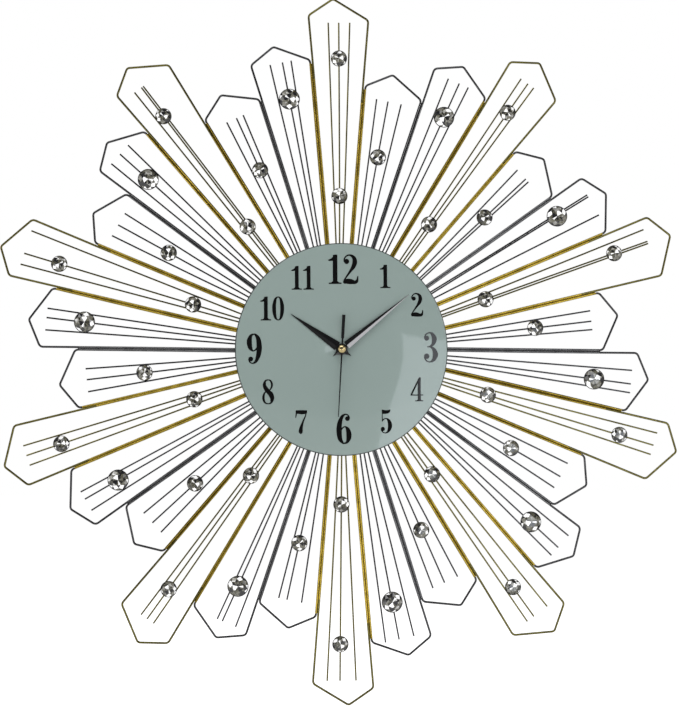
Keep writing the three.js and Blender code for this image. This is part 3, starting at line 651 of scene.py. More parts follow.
@dataclass(frozen=True)
class BoardFinish:
    """Circuit board: green mask over darker tracks, with fine weave in its height."""

    name: str = "green_board"
    mask: Colour = (0.02, 0.16, 0.06)
    track: Colour = (0.04, 0.27, 0.1)

    def build(self) -> bpy.types.Material:
        """Makes the material. Tracks are the joints of a brick pattern."""
        material, bench, shader = principled(self.name)
        tree = bench.tree
        place_of = bench.add("ShaderNodeTexCoord").outputs["Object"]
        turned_round = bench.add("ShaderNodeMapping", Vector=place_of, Rotation=(math.pi / 2, 0.0, 0.0))
        bricks = bench.add("ShaderNodeTexBrick", Vector=turned_round.outputs[0], Scale=320.0,
                           Mortar_Size=0.06,
                           Color1=solid(self.mask), Color2=solid(self.mask), Mortar=solid(self.track))
        tree.links.new(bricks.outputs["Color"], shader.inputs["Base Color"])
        weave = bench.add("ShaderNodeTexNoise", Vector=place_of, Scale=2000.0).outputs[0]
        tree.links.new(bench.spread(weave, 0.3, 0.7, 0.25, 0.45), shader.inputs["Roughness"])
        bump = bench.add("ShaderNodeBump", Strength=0.3, Distance=0.0001, Height=bricks.outputs["Fac"])
        tree.links.new(bump.outputs[0], shader.inputs["Normal"])
        return material


class Finish(Enum):
    """Every finish of the clock. A member's value makes it, and its name is how a piece asks."""

    GOLD = GrainedFinish("gold_plate", (0.44, 0.32, 0.05), (0.2, 0.145, 0.02), 0.12, 0.25, metal=1.0,
                         cloud=90.0, grain=1300.0)
    # A darker copy of the gold plate: painted shade for a gold petal's single wires.
    SHADED_GOLD = GrainedFinish("gold_plate_painted_shade", (0.17, 0.15, 0.042), (0.08, 0.07, 0.02), 0.12, 0.25,
                              metal=1.0, cloud=90.0, grain=1300.0)
    GUNMETAL = GrainedFinish("gunmetal_plate", (0.16, 0.16, 0.163), (0.085, 0.085, 0.087), 0.12, 0.26,
                             metal=1.0, cloud=90.0, grain=1300.0)
    # A darker copy of the gunmetal plate: painted shade for a silver petal's single wires.
    SHADED_GUNMETAL = GrainedFinish("gunmetal_plate_painted_shade", (0.07, 0.07, 0.072), (0.038, 0.038, 0.039), 0.12,
                                  0.26, metal=1.0, cloud=90.0, grain=1300.0)
    GOLD_SEAM = GrainedFinish("gold_solder", (0.2, 0.14, 0.024), (0.1, 0.066, 0.012), 0.3, 0.5, metal=1.0,
                              cloud=420.0, grain=2500.0, bump=0.25)
    GREY_SEAM = GrainedFinish("grey_solder", (0.12, 0.12, 0.124), (0.06, 0.06, 0.062), 0.3, 0.5, metal=1.0,
                              cloud=420.0, grain=2500.0, bump=0.25)
    BRAZE = GrainedFinish("brazed_joint", (0.2, 0.165, 0.08), (0.09, 0.072, 0.035), 0.35, 0.6, metal=1.0,
                          cloud=420.0, grain=2500.0, bump=0.3)
    CRYSTAL = CrystalFinish()
    FOIL = GrainedFinish("foil_rim", (0.03, 0.03, 0.03), (0.012, 0.012, 0.012), 0.15, 0.35, metal=1.0,
                         grain=2500.0)
    DIAL = DialFinish()
    INK = GrainedFinish("numeral_ink", (0.0012, 0.0012, 0.0014), (0.0022, 0.0022, 0.0025), 0.3, 0.4,
                        cloud=200.0, grain=2600.0, bump=0.02, coat=1.0, specular=0.0)
    HAND = GrainedFinish("polished_black", (0.004, 0.004, 0.005), (0.002, 0.002, 0.0025), 0.06, 0.1,
                         cloud=40.0, grain=2000.0, bump=0.01, specular=1.0)
    HUB = GrainedFinish("hub_black", (0.005, 0.005, 0.006), (0.003, 0.003, 0.003), 0.25, 0.35, grain=2000.0,
                        specular=0.2)
    BRASS = GrainedFinish("polished_brass", (0.62, 0.5, 0.27), (0.36, 0.27, 0.12), 0.12, 0.26, metal=1.0,
                          cloud=500.0, grain=2400.0)
    PAN = GrainedFinish("black_enamel", (0.02, 0.02, 0.021), (0.011, 0.011, 0.012), 0.28, 0.42, cloud=35.0,
                        grain=1100.0, bump=0.35, rubbed=(0.2, 0.2, 0.2), rub=0.35)
    ZINC = GrainedFinish("zinc_plate", (0.62, 0.63, 0.65), (0.42, 0.43, 0.43), 0.26, 0.46, metal=1.0,
                         cloud=160.0, grain=1500.0, stretch=(1.0, 1.0, 0.12), bump=0.2)
    RUBBER = GrainedFinish("black_rubber", (0.03, 0.03, 0.03), (0.018, 0.018, 0.018), 0.7, 0.9, grain=1800.0,
                           bump=0.5)
    CASE = GrainedFinish("moulded_case", (0.032, 0.032, 0.034), (0.021, 0.021, 0.022), 0.42, 0.6, cloud=120.0,
                         grain=2600.0, bump=0.5, rubbed=(0.12, 0.12, 0.12), rub=0.5)
    TRAIN = GrainedFinish("clear_nylon", (0.78, 0.76, 0.68), (0.66, 0.63, 0.54), 0.3, 0.45, cloud=300.0,
                          grain=2200.0, bump=0.2)
    COPPER = GrainedFinish("enamelled_copper", (0.6, 0.25, 0.1), (0.4, 0.14, 0.05), 0.2, 0.36, metal=1.0,
                           cloud=300.0, grain=3000.0, stretch=(6.0, 0.3, 0.3), bump=0.6)
    SLEEVE = WrapFinish()
    BOARD = BoardFinish()

    def material(self) -> bpy.types.Material:
        """This finish's material, made once."""
        found = bpy.data.materials.get(self.value.name)
        return found or self.value.build()


# ---- Petals ----


@dataclass(frozen=True)
class Band:
    """The line between two petals whose sides run together: its bearing at the dial's edge
    and at the radius of the shoulder where the pair parts."""

    inner: float
    outer: float
    shoulder: float


GOLD_SHORT = Band(6.46, 5.56, 262)
SHORT_LONG = Band(18, 18.6, 260)
LONG_GOLD = Band(29.06, 30.6, 287)


@dataclass(frozen=True)
class PetalKind:
    """The sizes of one kind of petal, with x across and y outwards along its own bearing. Each
    petal is finished by hand, so each has its own rays, given by where their three ends are
    across it. The crystals are glued to the middle ray, at the same distances out on a kind."""

    name: str
    bearing: float
    left: Band
    right: Band
    left_shoulder: float
    peak: tuple[float, float]
    right_shoulder: float
    ray_end: float
    stone_radius: float
    finish: Finish
    slot: str
    gold_sides: tuple[bool, bool]
    stones_at: tuple[float, ...]
    rays: tuple[tuple[float, float, float], ...]


KINDS = (
    PetalKind(
        "gold", 0, LONG_GOLD, GOLD_SHORT, 333.3, (-5, 349.8), 328.3, 326, 8,
        Finish.SHADED_GOLD, "gold_wire", (True, True), (290, 152.7), (
            (-10, 0.5, 11.5),
            (-11, -2.6, 4.5),
            (-19, -6.6, -4.4),
            (-17, -4.3, 5.3),
            (-14, 2.5, 10.7),
            (-12.5, 3.3, 16),
            (-6.6, 1, 8.2),
            (-11.5, -1.5, 8.5),
            (-15.6, -4.3, 19),
            (-13.4, -5, -2.8),
        ),
    ),
    PetalKind(
        "short", 12, GOLD_SHORT, SHORT_LONG, 262.7, (-4, 279), 260, 252, 8,
        Finish.SHADED_GUNMETAL, "silver_wire", (True, False), (195,), (
            (-15, -3.4, 10),
            (-13.7, -1.5, 2.4),
            (-11.5, -1, 7.4),
            (-13.7, 1.3, 13.8),
            (-12.6, 1.6, 14.3),
            (-12, 2.7, 11),
            (-13.2, -0.7, 12),
            (-13.7, -1.8, 9),
            (-14, -1.8, 11.3),
            (-9.8, 0.7, 8),
        ),
    ),
    PetalKind(
        "long", 24, SHORT_LONG, LONG_GOLD, 295, (-0.7, 308.5), 288.3, 291.5, 10.3,
        Finish.SHADED_GUNMETAL, "silver_wire", (False, True), (254,), (
            (-9.7, 2.2, 12),
            (-9.2, -7, 14),
            (-8.6, 5, 13.8),
            (-12.5, 3, 13.3),
            (-9.7, 5.3, 19),
            (-14, 0.2, 5.6),
            (-12.2, 0.5, 8.7),
            (-9.4, 2.8, 12),
            (-13.4, -0.6, 11.3),
            (-7.7, 4.8, 13.6),
        ),
    ),
)


@dataclass
class Petals:
    """Thirty bent-wire petals: an outline, three rays, a root tab, brazed joints and the
    crystals glued to the middle ray."""

    sector: float = 36
    outline: float = 1.05
    ray: float = 0.8
    pitch: float = 2.4
    dial_edge: float = 103
    root: float = 68
    tab_height: float = 6
    tab_sheet: float = 1.2
    ray_spacing: float = 2.2
    shoulder_bend: float = 5
    peak_bend: float = 4
    standoff: float = 18.15
    joints_at: tuple[float, ...] = (118, 168, 222)
    seam: float = 0.62
    seam_back: float = 0.3
    seam_stop: float = 2.5
    bow: float = 0.35
    rng: np.random.Generator = field(default_factory=lambda: np.random.default_rng(41))

    def side_wire(self, band: Band, kind: PetalKind, side: int, y: float) -> Array:
        """The centre of a side wire at a height: the band's line moved half a pitch inwards.

        Args:
            band: the line between the two petals.
            kind: the petal's kind.
            side: -1 for the left and 1 for the right.
            y: the height, along the petal.

        Returns:
            The point, in the petal's own x and y.
        """
        bearings = np.array([band.inner, band.outer]) - kind.bearing
        local = np.radians((bearings + self.sector / 2) % self.sector - self.sector / 2)
        radii = np.array([self.dial_edge, band.shoulder])
        start, end = np.stack([np.sin(local) * radii, np.cos(local) * radii], -1)
        along = unit(end - start)
        start = start - side * self.pitch / 2 * np.array([along[1], -along[0]])
        return start + along * (y - start[1]) / along[1]

    def outline_path(self, kind: PetalKind) -> Array:
        """The outline's centre line from root to root, each corner bent to its radius: a bend
        of radius r at a corner of half angle h starts r / tan h from it."""
        corners = np.array([
            self.side_wire(kind.left, kind, -1, self.root),
            self.side_wire(kind.left, kind, -1, kind.left_shoulder),
            kind.peak,
            self.side_wire(kind.right, kind, 1, kind.right_shoulder),
            self.side_wire(kind.right, kind, 1, self.root),
        ])
        back, on = unit(corners[:-2] - corners[1:-1]), unit(corners[2:] - corners[1:-1])
        half = np.arccos((back * on).sum(-1)) / 2
        radii = np.array([self.shoulder_bend, self.peak_bend, self.shoulder_bend])
        return softened(corners, radii / np.tan(half), steps=8)

    def bent(self, line: Array) -> Array:
        """A side's line with the slight bow that hand-bent wire keeps: b sin(pi s) across it."""
        s = np.linspace(0, 1, 14)[:, None]
        chord = line[1] - line[0]
        across = unit(np.array([chord[1], -chord[0]]))
        return line[0] + chord * s + across * self.bow * self.rng.uniform(-1, 1) * np.sin(np.pi * s)

    def lift(self, line: Array, standoff: float | None = None) -> Array:
        """Plane points put at a standoff, as x, y, z."""
        depth = np.full(len(line), -(self.standoff if standoff is None else standoff))
        return np.stack([line[:, 0], depth, line[:, 1]], -1)

    def gem(self, radius: float, back: float, x: float, z: float) -> tuple[Shell, Array]:
        """A round brilliant's crown on a flat back, turned by chance about its own axis.

        Rings of points: the centre and 8 of the table, 8 below it at half steps, 16 of the
        girdle's top and 16 of its back. The table is cut into 16 wedges, because the facets
        behind it show through it.

        Args:
            radius: of the girdle.
            back: standoff of the flat back.
            x: place across the petal.
            z: place along the petal.

        Returns:
            The shell, and a tone for each face: its painted reflection.
        """
        spin = self.rng.uniform(0, 2 * np.pi)
        steps = np.arange(16) * np.pi / 8 + spin
        levels = ((16, 0.53, 4.35), (8, 0.76, 3.3), (16, 0.95, 1.5), (16, 0.92, 0.9), (16, 0.86, 0.0))
        rings = []
        for count, share, up in levels:
            angle = steps[:: 16 // count] + (np.pi / 8 if count == 8 else 0)
            reach = np.full(count, share * radius)
            if up == 4.35:
                reach[1::2] *= math.cos(np.pi / 8)
            rings.append(np.stack([x + reach * np.cos(angle), np.full(count, -back - up),
                                   z + reach * np.sin(angle)], -1))
        middle = np.array([[x, -back - 4.35, z]])
        rear = np.array([[x, -back, z]])
        points = np.concatenate([middle, *rings, rear])
        table, crown, girdle, waist, base, pole = 1, 17, 25, 41, 57, 73
        i, k = np.arange(16), np.arange(8)
        nxt, nk = (i + 1) % 16, (k + 1) % 8
        faces = [
            np.stack([0 * i, table + i, table + nxt], -1),
            np.stack([table + 2 * k, crown + k, table + 2 * k + 1], -1),
            np.stack([table + 2 * k + 1, crown + k, table + (2 * k + 2) % 16], -1),
            np.stack([table + 2 * k, crown + (k - 1) % 8, girdle + 2 * k], -1),
            np.stack([table + 2 * k, girdle + 2 * k, crown + k], -1),
            np.stack([crown + k, girdle + 2 * k, girdle + 2 * k + 1], -1),
            np.stack([crown + k, girdle + 2 * k + 1, girdle + (2 * k + 2) % 16], -1),
            np.stack([girdle + i, waist + i, waist + nxt, girdle + nxt], -1),
            np.stack([waist + i, base + i, base + nxt, waist + nxt], -1),
            np.stack([base + i, pole + 0 * i, base + nxt], -1),
        ]
        # Each face's tone is a painted reflection: three table wedges in a row, the wedge across from them, a
        # few kites and girdle facets are painted glints near white, two wedges are painted dark, and the
        # girdle sides are painted dark.
        deep, plain = self.rng.uniform(0.1, 0.55, 16), self.rng.uniform(0.1, 0.55, 8)
        bright = self.rng.integers(0, 16)
        deep[(bright + np.arange(3)) % 16] = 1.0
        deep[(bright + 8) % 16] = 1.0
        deep[(bright + 5 + np.arange(2)) % 16] = 0.05
        kite = self.rng.uniform(0.05, 0.6, 8)
        kite[self.rng.integers(0, 8, 2)] = 1.0
        edge = self.rng.uniform(0.0, 0.5, 16)
        edge[self.rng.integers(0, 16, 3)] = 0.9
        tone = np.concatenate([deep, plain, plain, kite, kite, edge[::2], edge[1::2], np.full(16, 0.1),
                               np.full(16, 0.05), np.full(16, 0.3)])
        return (points, faces), tone

    def bead(self, centre: Array, along: Array, length: float, width: float) -> Shell:
        """A brazed bead over the back of two wires: half an egg, P = centre + l cos u along +
        w sin u cos v across + h sin u sin v back, flattened where it meets them."""
        u = np.linspace(0, np.pi, 8)[:, None]
        v = np.linspace(0, 2 * np.pi, 10, endpoint=False)[None, :]
        across = np.array([along[1], -along[0]])
        flat = length * np.cos(u) * np.ones_like(v), width * np.sin(u) * np.cos(v)
        rise = 0.75 * np.sin(u) * np.maximum(np.sin(v), -0.4)
        xz = centre + flat[0][..., None] * along + flat[1][..., None] * across
        points = np.stack([xz[..., 0], -(self.standoff - 0.55) + rise, xz[..., 1]], -1)
        return points.reshape(-1, 3), [grid_faces(8, 10)]

    def runs(self, kind: PetalKind, path: Array) -> list[tuple[Array, int]]:
        """The outline in its runs: each side as far as it lies in a band, and the rest.

        A band ends where the shorter petal of the pair bends away: at its shoulder's height.

        Args:
            kind: the petal's kind.
            path: the outline from root to root.

        Returns:
            Each run's line and the number of its finish: 0 the kind's darker copy of its plate (painted
            shade), 1 gold plate, 2 gunmetal.
        """
        left, right = self.bent(path[:2]), self.bent(path[-2:])
        sides = []
        for line, band, golden in ((left, kind.left, kind.gold_sides[0]),
                                   (right[::-1], kind.right, kind.gold_sides[1])):
            parting = int((line[:, 1] < band.shoulder).sum())
            sides.append((line, parting, 1 if golden else 2))
        (left, low, first), (right, high, last) = sides
        loose = np.concatenate([left[low - 1:], path[2:-2], right[high - 1:][::-1]])
        return [(left[:low], first), (loose, 0), (right[:high], last)]

    @staticmethod
    def middle_of(path: Array) -> float:
        """The x halfway between an outline's two roots."""
        return (path[0, 0] + path[-1, 0]) / 2

    def frame_of(self, kind: PetalKind, ray_tips: tuple[float, float, float]) -> Skin:
        """One petal's metal: outline in three runs, rays, root tab with its weld, and the
        soldered seam and beads that join its right side to the next petal.

        Args:
            kind: the petal's kind.
            ray_tips: where this petal's rays end across it.

        Returns:
            The piece, before it is turned to its bearing.
        """
        metal = Skin("")
        path = self.outline_path(kind)
        for line, finish in self.runs(kind, path):
            metal.add(rod(self.lift(line), self.outline), finish=finish)
        root = self.root + self.tab_height / 2
        middle = self.middle_of(path)
        for i, tip in enumerate(ray_tips):
            ray = np.array([[middle + (i - 1) * self.ray_spacing, root], [tip, kind.ray_end]])
            metal.add(rod(self.lift(self.bent(ray)), self.ray, sides=10))
        low, high = self.root, self.root + self.tab_height
        tab = np.array([self.side_wire(kind.left, kind, -1, low), self.side_wire(kind.right, kind, 1, low),
                        self.side_wire(kind.right, kind, 1, high), self.side_wire(kind.left, kind, -1, high)])
        half = self.tab_sheet / 2
        metal.add(plate(softened(tab, 0.8, 4, closed=True), self.standoff - half, self.standoff + half),
                  finish=3)
        dimple = np.array([[0, half + 0.12], [0.9, half + 0.1], [1.3, half + 0.3], [1.7, half + 0.12],
                           [1.9, half - 0.3], [0, half - 0.3]])
        dimple[:, 1] = self.standoff - dimple[:, 1]
        metal.add(turned(dimple, 16, (middle, root)), finish=3)
        seam_ends = (high, kind.right.shoulder - self.seam_stop)
        heights = np.array([*seam_ends, *self.joints_at])
        edge = np.array([self.side_wire(kind.right, kind, 1, y) for y in heights])
        along = unit(edge[1] - edge[0])
        seam = edge + np.array([along[1], -along[0]]) * self.pitch / 2
        metal.add(rod(self.lift(seam[:2], self.standoff - self.seam_back), self.seam, sides=8),
                  finish=4 if kind.gold_sides[1] else 5)
        for centre in seam[2:]:
            metal.add(self.bead(centre, along, 3.2, 1.5), finish=3)
        return metal

    def stones_of(self, kind: PetalKind, middle_tip: float) -> tuple[Skin, Skin]:
        """One petal's crystals and the foil rims that they sit in.

        Args:
            kind: the petal's kind.
            middle_tip: where this petal's middle ray ends across it.

        Returns:
            The crystals, and the rims.
        """
        gems, rims = Skin(""), Skin("")
        back = self.standoff + self.ray / 2
        r = kind.stone_radius
        middle = self.middle_of(self.outline_path(kind))
        for y in kind.stones_at:
            x = np.interp(y, [self.root + self.tab_height / 2, kind.ray_end], [middle, middle_tip])
            shell, tone = self.gem(r, back + 0.25, x, y)
            gems.add(shell, tone=tone)
            cup = np.array([[0, back], [0.86 * r, back], [0.97 * r, back + 0.5], [1.01 * r, back + 1.2],
                            [0.99 * r, back + 1.75], [0.945 * r, back + 1.7], [0.92 * r, back + 1.15],
                            [0.88 * r, back + 0.32], [0, back + 0.22]])
            rims.add(turned(cup, 32, (x, y)))
            drop = np.array([[0, back - 1.5], [1.6, back - 1.35], [2.4, back - 0.7], [2.7, back + 0.04],
                             [0, back + 0.04]])
            rims.add(turned(drop, 14, (x, y - 0.4)))
        return gems, rims

    def build(self) -> None:
        """Makes and places every petal."""
        for kind in KINDS:
            for i, ray_tips in enumerate(kind.rays):
                bearing = kind.bearing + i * self.sector
                node = f"{kind.name}_petal_{i + 1:02d}"
                metal = self.frame_of(kind, ray_tips)
                gems, rims = self.stones_of(kind, ray_tips[1])
                # The first finish, kind.finish, is the darker copy of the kind's plate: painted shade on its
                # rays and outline top.
                finishes = [kind.finish, Finish.GOLD, Finish.GUNMETAL, Finish.BRAZE, Finish.GOLD_SEAM,
                            Finish.GREY_SEAM]
                parts = (("wire", metal, finishes, 35.0, kind.slot),
                         ("crystals", gems, [Finish.CRYSTAL], None, None),
                         ("crystal_rims", rims, [Finish.FOIL], 35.0, None))
                for label, skin, finishes, crease, slot in parts:
                    skin.name = f"{node}_{label}"
                    skin.points = [turn_by(p, bearing) for p in skin.points]
                    made = skin.build([f.material() for f in finishes], crease)
                    place(made, CLOCK, slot, (node,) if label == "wire" else ())


# ---- Dial ----


class Glyph(Enum):
    """The strokes of each figure in a box one high. A stroke is rows of x, y and half width,
    a ring is closed, a ball is x, y and radius, and a patch is an outline."""

    ONE = {
        "width": 0.41,
        "patches": [
            [(0.148, 0.02), (0.148, 0.86), (0.155, 0.985), (0.225, 1.0), (0.307, 1.0), (0.307, 0.02)],
            [(0.0, 0.785), (0.0, 0.83), (0.09, 0.865), (0.16, 0.93), (0.215, 1.0), (0.2, 0.8), (0.1, 0.785)],
            [(0.01, 0.0), (0.01, 0.042), (0.1, 0.052), (0.148, 0.1), (0.307, 0.1), (0.355, 0.052),
             (0.445, 0.042), (0.445, 0.0)],
        ],
    }
    TWO = {
        "width": 0.52,
        "strokes": [
            [(0.045, 0.75, 0.02), (0.05, 0.86, 0.02), (0.13, 0.955, 0.02), (0.24, 0.978, 0.024),
             (0.36, 0.91, 0.05), (0.405, 0.76, 0.07), (0.36, 0.6, 0.062), (0.25, 0.43, 0.036),
             (0.12, 0.25, 0.022), (0.045, 0.13, 0.02), (0.025, 0.03, 0.022)],
            [(0.02, 0.05, 0.045), (0.12, 0.085, 0.075), (0.26, 0.08, 0.078), (0.38, 0.055, 0.055),
             (0.455, 0.08, 0.05), (0.49, 0.16, 0.028), (0.505, 0.27, 0.012)],
        ],
        "balls": [(0.125, 0.765, 0.088)],
    }
    THREE = {
        "width": 0.475,
        "strokes": [
            [(0.04, 0.82, 0.02), (0.09, 0.93, 0.018), (0.2, 0.982, 0.018), (0.3, 0.935, 0.045),
             (0.365, 0.77, 0.07), (0.31, 0.6, 0.045), (0.2, 0.53, 0.016), (0.13, 0.52, 0.016)],
            [(0.13, 0.52, 0.016), (0.22, 0.515, 0.018), (0.335, 0.44, 0.048), (0.395, 0.26, 0.078),
             (0.335, 0.09, 0.05), (0.22, 0.018, 0.018), (0.1, 0.055, 0.018), (0.03, 0.17, 0.022)],
        ],
        "balls": [(0.11, 0.8, 0.082), (0.105, 0.205, 0.09)],
    }
    FOUR = {
        "width": 0.53,
        "patches": [
            [(0.3, 0.03), (0.3, 0.9), (0.36, 1.0), (0.43, 1.0), (0.43, 0.03)],
            [(0.0, 0.24), (0.0, 0.285), (0.53, 0.285), (0.53, 0.24)],
            [(0.19, 0.0), (0.19, 0.036), (0.27, 0.046), (0.3, 0.08), (0.43, 0.08), (0.46, 0.046),
             (0.53, 0.036), (0.53, 0.0)],
            [(0.0, 0.26), (0.0, 0.3), (0.36, 1.0), (0.42, 1.0), (0.06, 0.26)],
        ],
    }
    FIVE = {
        "width": 0.48,
        "patches": [
            [(0.06, 0.5), (0.06, 1.0), (0.095, 0.99), (0.095, 0.5)],
            [(0.07, 0.82), (0.07, 1.0), (0.2, 0.97), (0.32, 0.975), (0.42, 1.005), (0.405, 0.9),
             (0.33, 0.835), (0.2, 0.815)],
        ],
        "strokes": [
            [(0.07, 0.51, 0.02), (0.14, 0.59, 0.018), (0.245, 0.62, 0.02), (0.35, 0.53, 0.055),
             (0.4, 0.34, 0.078), (0.35, 0.13, 0.055), (0.235, 0.02, 0.02), (0.11, 0.045, 0.018),
             (0.03, 0.15, 0.022)],
        ],
        "balls": [(0.1, 0.185, 0.088)],
    }
    SIX = {
        "width": 0.49,
        "strokes": [
            [(0.43, 0.84, 0.02), (0.4, 0.935, 0.018), (0.31, 0.982, 0.018), (0.2, 0.92, 0.04),
             (0.115, 0.72, 0.066), (0.085, 0.45, 0.078), (0.115, 0.18, 0.064), (0.2, 0.045, 0.032),
             (0.265, 0.018, 0.018)],
            [(0.255, 0.018, 0.018), (0.345, 0.06, 0.036), (0.4, 0.18, 0.066), (0.41, 0.32, 0.076),
             (0.375, 0.48, 0.056), (0.29, 0.57, 0.02), (0.2, 0.53, 0.018), (0.13, 0.42, 0.02)],
        ],
        "balls": [(0.365, 0.84, 0.078)],
    }
    SEVEN = {
        "width": 0.51,
        "patches": [
            [(0.02, 0.85), (0.03, 1.0), (0.5, 1.0), (0.5, 0.9), (0.42, 0.84), (0.28, 0.825), (0.12, 0.85)],
            [(0.0, 0.68), (0.02, 0.98), (0.055, 0.98), (0.07, 0.84), (0.03, 0.68)],
        ],
        "strokes": [
            [(0.49, 0.95, 0.014), (0.42, 0.74, 0.02), (0.32, 0.5, 0.034), (0.25, 0.28, 0.058),
             (0.225, 0.13, 0.076), (0.225, 0.07, 0.07)],
        ],
        "balls": [(0.225, 0.078, 0.078)],
    }
    EIGHT = {
        "width": 0.49,
        "strokes": [
            [(0.13, 0.88, 0.03), (0.1, 0.77, 0.056), (0.15, 0.64, 0.072), (0.245, 0.52, 0.078),
             (0.345, 0.38, 0.078), (0.4, 0.24, 0.062), (0.375, 0.1, 0.036)],
        ],
        "rings": [
            [(0.245, 0.982, 0.018), (0.35, 0.94, 0.028), (0.405, 0.78, 0.036), (0.35, 0.62, 0.024),
             (0.245, 0.55, 0.018), (0.14, 0.62, 0.036), (0.085, 0.78, 0.046), (0.14, 0.94, 0.03)],
            [(0.245, 0.54, 0.018), (0.38, 0.46, 0.036), (0.435, 0.26, 0.05), (0.38, 0.08, 0.034),
             (0.245, 0.018, 0.018), (0.11, 0.08, 0.03), (0.055, 0.26, 0.042), (0.11, 0.46, 0.026)],
        ],
    }
    NAUGHT = {
        "width": 0.49,
        "rings": [
            [(0.245, 0.982, 0.018), (0.35, 0.9, 0.042), (0.4, 0.7, 0.064), (0.415, 0.5, 0.072),
             (0.4, 0.3, 0.064), (0.35, 0.1, 0.042), (0.245, 0.018, 0.018), (0.14, 0.1, 0.042),
             (0.09, 0.3, 0.064), (0.075, 0.5, 0.072), (0.09, 0.7, 0.064), (0.14, 0.9, 0.042)],
        ],
    }


@dataclass(frozen=True)
class Figure:
    """A numeral: its glyphs, whether it is turned over, the place of its middle and its height."""

    glyphs: tuple[Glyph, ...]
    middle: tuple[float, float]
    height: float
    turned_over: bool = False


FIGURES = (
    Figure((Glyph.ONE, Glyph.TWO), (2.3, 79.0), 29.0),
    Figure((Glyph.ONE,), (43.2, 71.8), 23.2),
    Figure((Glyph.TWO,), (74.9, 43.6), 23.1),
    Figure((Glyph.THREE,), (88.0, 1.5), 29.8),
    Figure((Glyph.FOUR,), (74.0, -39.9), 23.6),
    Figure((Glyph.FIVE,), (43.4, -71.3), 23.5),
    Figure((Glyph.SIX,), (1.6, -78.4), 29.7),
    Figure((Glyph.SEVEN,), (-40.2, -71.4), 23.2),
    Figure((Glyph.EIGHT,), (-72.7, -41.5), 24.3),
    Figure((Glyph.SIX,), (-85.9, 1.0), 29.8, turned_over=True),
    Figure((Glyph.ONE, Glyph.NAUGHT), (-68.1, 40.5), 23.5),
    Figure((Glyph.ONE, Glyph.ONE), (-38.4, 70.7), 23.5),
)


@dataclass
class Dial:
    """The glass with its ground edge, its numerals, and the pan that carries it."""

    radius: float = 105.0
    hole: float = 4.8
    back: float = 27.2
    front: float = 31.2
    ground: float = 1.1
    ink: float = 0.1
    gap: float = 0.087
    swell: float = 1.1
    hairline: float = 0.003
    pan_radius: float = 98.0
    pan_back: float = 19.4
    pan_front: float = 26.9
    flange: float = 12.0
    sheet: float = 1.2
    bore: float = 4.3

    def glass(self) -> None:
        """The disc: a square section with its four edges eased, turned about the hands."""
        corners = np.array([[self.hole, self.back], [self.radius, self.back], [self.radius, self.front],
                            [self.hole, self.front]])
        skin = Skin("glass_dial").add(turned(softened(corners, self.ground, 5, closed=True), 256))
        place(skin.build([Finish.DIAL.material()], 60.0), CLOCK, "dial_glass", ("dial_glass",))

    def glyph(self, skin: Skin, glyph: Glyph, place_of: Callable[[Array], Array], scale: float) -> None:
        """Adds one figure's strokes, each a little higher than the last so that none share a face.

        Args:
            skin: the piece that they join.
            glyph: the figure.
            place_of: takes box places to the dial's x and z.
            scale: millimetres to one unit of the box.
        """
        shapes = glyph.value
        level = self.front + self.ink
        step = 0.012
        back = self.front - 0.05

        def lay(rows: Array) -> Array:
            half_width = rows[:, 2:] * self.swell + self.hairline
            return np.concatenate([place_of(rows[:, :2]), half_width * scale], -1)

        for rows in shapes.get("strokes", ()):
            skin.add(ribbon(lay(spline(np.array(rows))), back, level))
            level += step
        for rows in shapes.get("rings", ()):
            ring = np.array(rows)
            wrapped = spline(np.concatenate([ring[-1:], ring, ring[:2]]))[8:-9]
            skin.add(ribbon(lay(wrapped), back, level, closed=True))
            level += step
        for x, y, radius in shapes.get("balls", ()):
            a = np.linspace(0, 2 * np.pi, 28, endpoint=False)
            disc = np.stack([x + radius * np.cos(a), y + radius * np.sin(a)], -1)
            skin.add(plate(place_of(disc), back, level))
            level += step
        for rows in shapes.get("patches", ()):
            skin.add(plate(place_of(softened(np.array(rows), 0.006, 2, closed=True)), back, level))
            level += step

    def numerals(self) -> None:
        """The twelve figures, in glossy ink on the glass."""
        skin = Skin("numerals")
        for figure in FIGURES:
            widths = [g.value["width"] for g in figure.glyphs]
            total = sum(widths) + self.gap * (len(widths) - 1)
            flip = -1 if figure.turned_over else 1
            start = -total / 2
            for glyph, width in zip(figure.glyphs, widths):
                corner = np.array([start, -0.5])

                def place_of(box: Array, corner: Array = corner) -> Array:
                    return np.array(figure.middle) + (box + corner) * figure.height * flip

                self.glyph(skin, glyph, place_of, figure.height)
                start += width + self.gap
        place(skin.build([Finish.INK.material()], 30.0), CLOCK)

    def pan(self) -> None:
        """The pressed pan: its section rounded where the press bends it, turned about the hands,
        with a shallow stiffening bead pressed forward round its floor."""
        r, t = self.pan_radius, self.sheet
        rim, floor = self.pan_front, self.pan_back
        outer = np.array([[self.bore, floor], [30, floor], [34, floor + 1.4], [46, floor + 1.4], [50, floor],
                          [r, floor], [r, rim], [r - self.flange, rim], [r - self.flange, rim - t],
                          [r - t, rim - t], [r - t, floor + t], [50.4, floor + t], [46.4, floor + 1.4 + t],
                          [33.6, floor + 1.4 + t], [29.6, floor + t], [self.bore, floor + t]])
        cuts = np.array([0.2, 1.6, 1.6, 1.6, 1.6, 1.8, 1.8, 0.4, 0.4, 0.5, 0.5, 1.6, 1.6, 1.6, 1.6, 0.2])
        skin = Skin("pressed_pan").add(turned(softened(outer, cuts, 5, closed=True), 160))
        place(skin.build([Finish.PAN.material()], 50.0), CLOCK, "black_steel", ("dial_pan",))

    def build(self) -> None:
        """Makes and places the dial's pieces."""
        self.glass()
        self.numerals()
        self.pan()


# ---- Hands ----


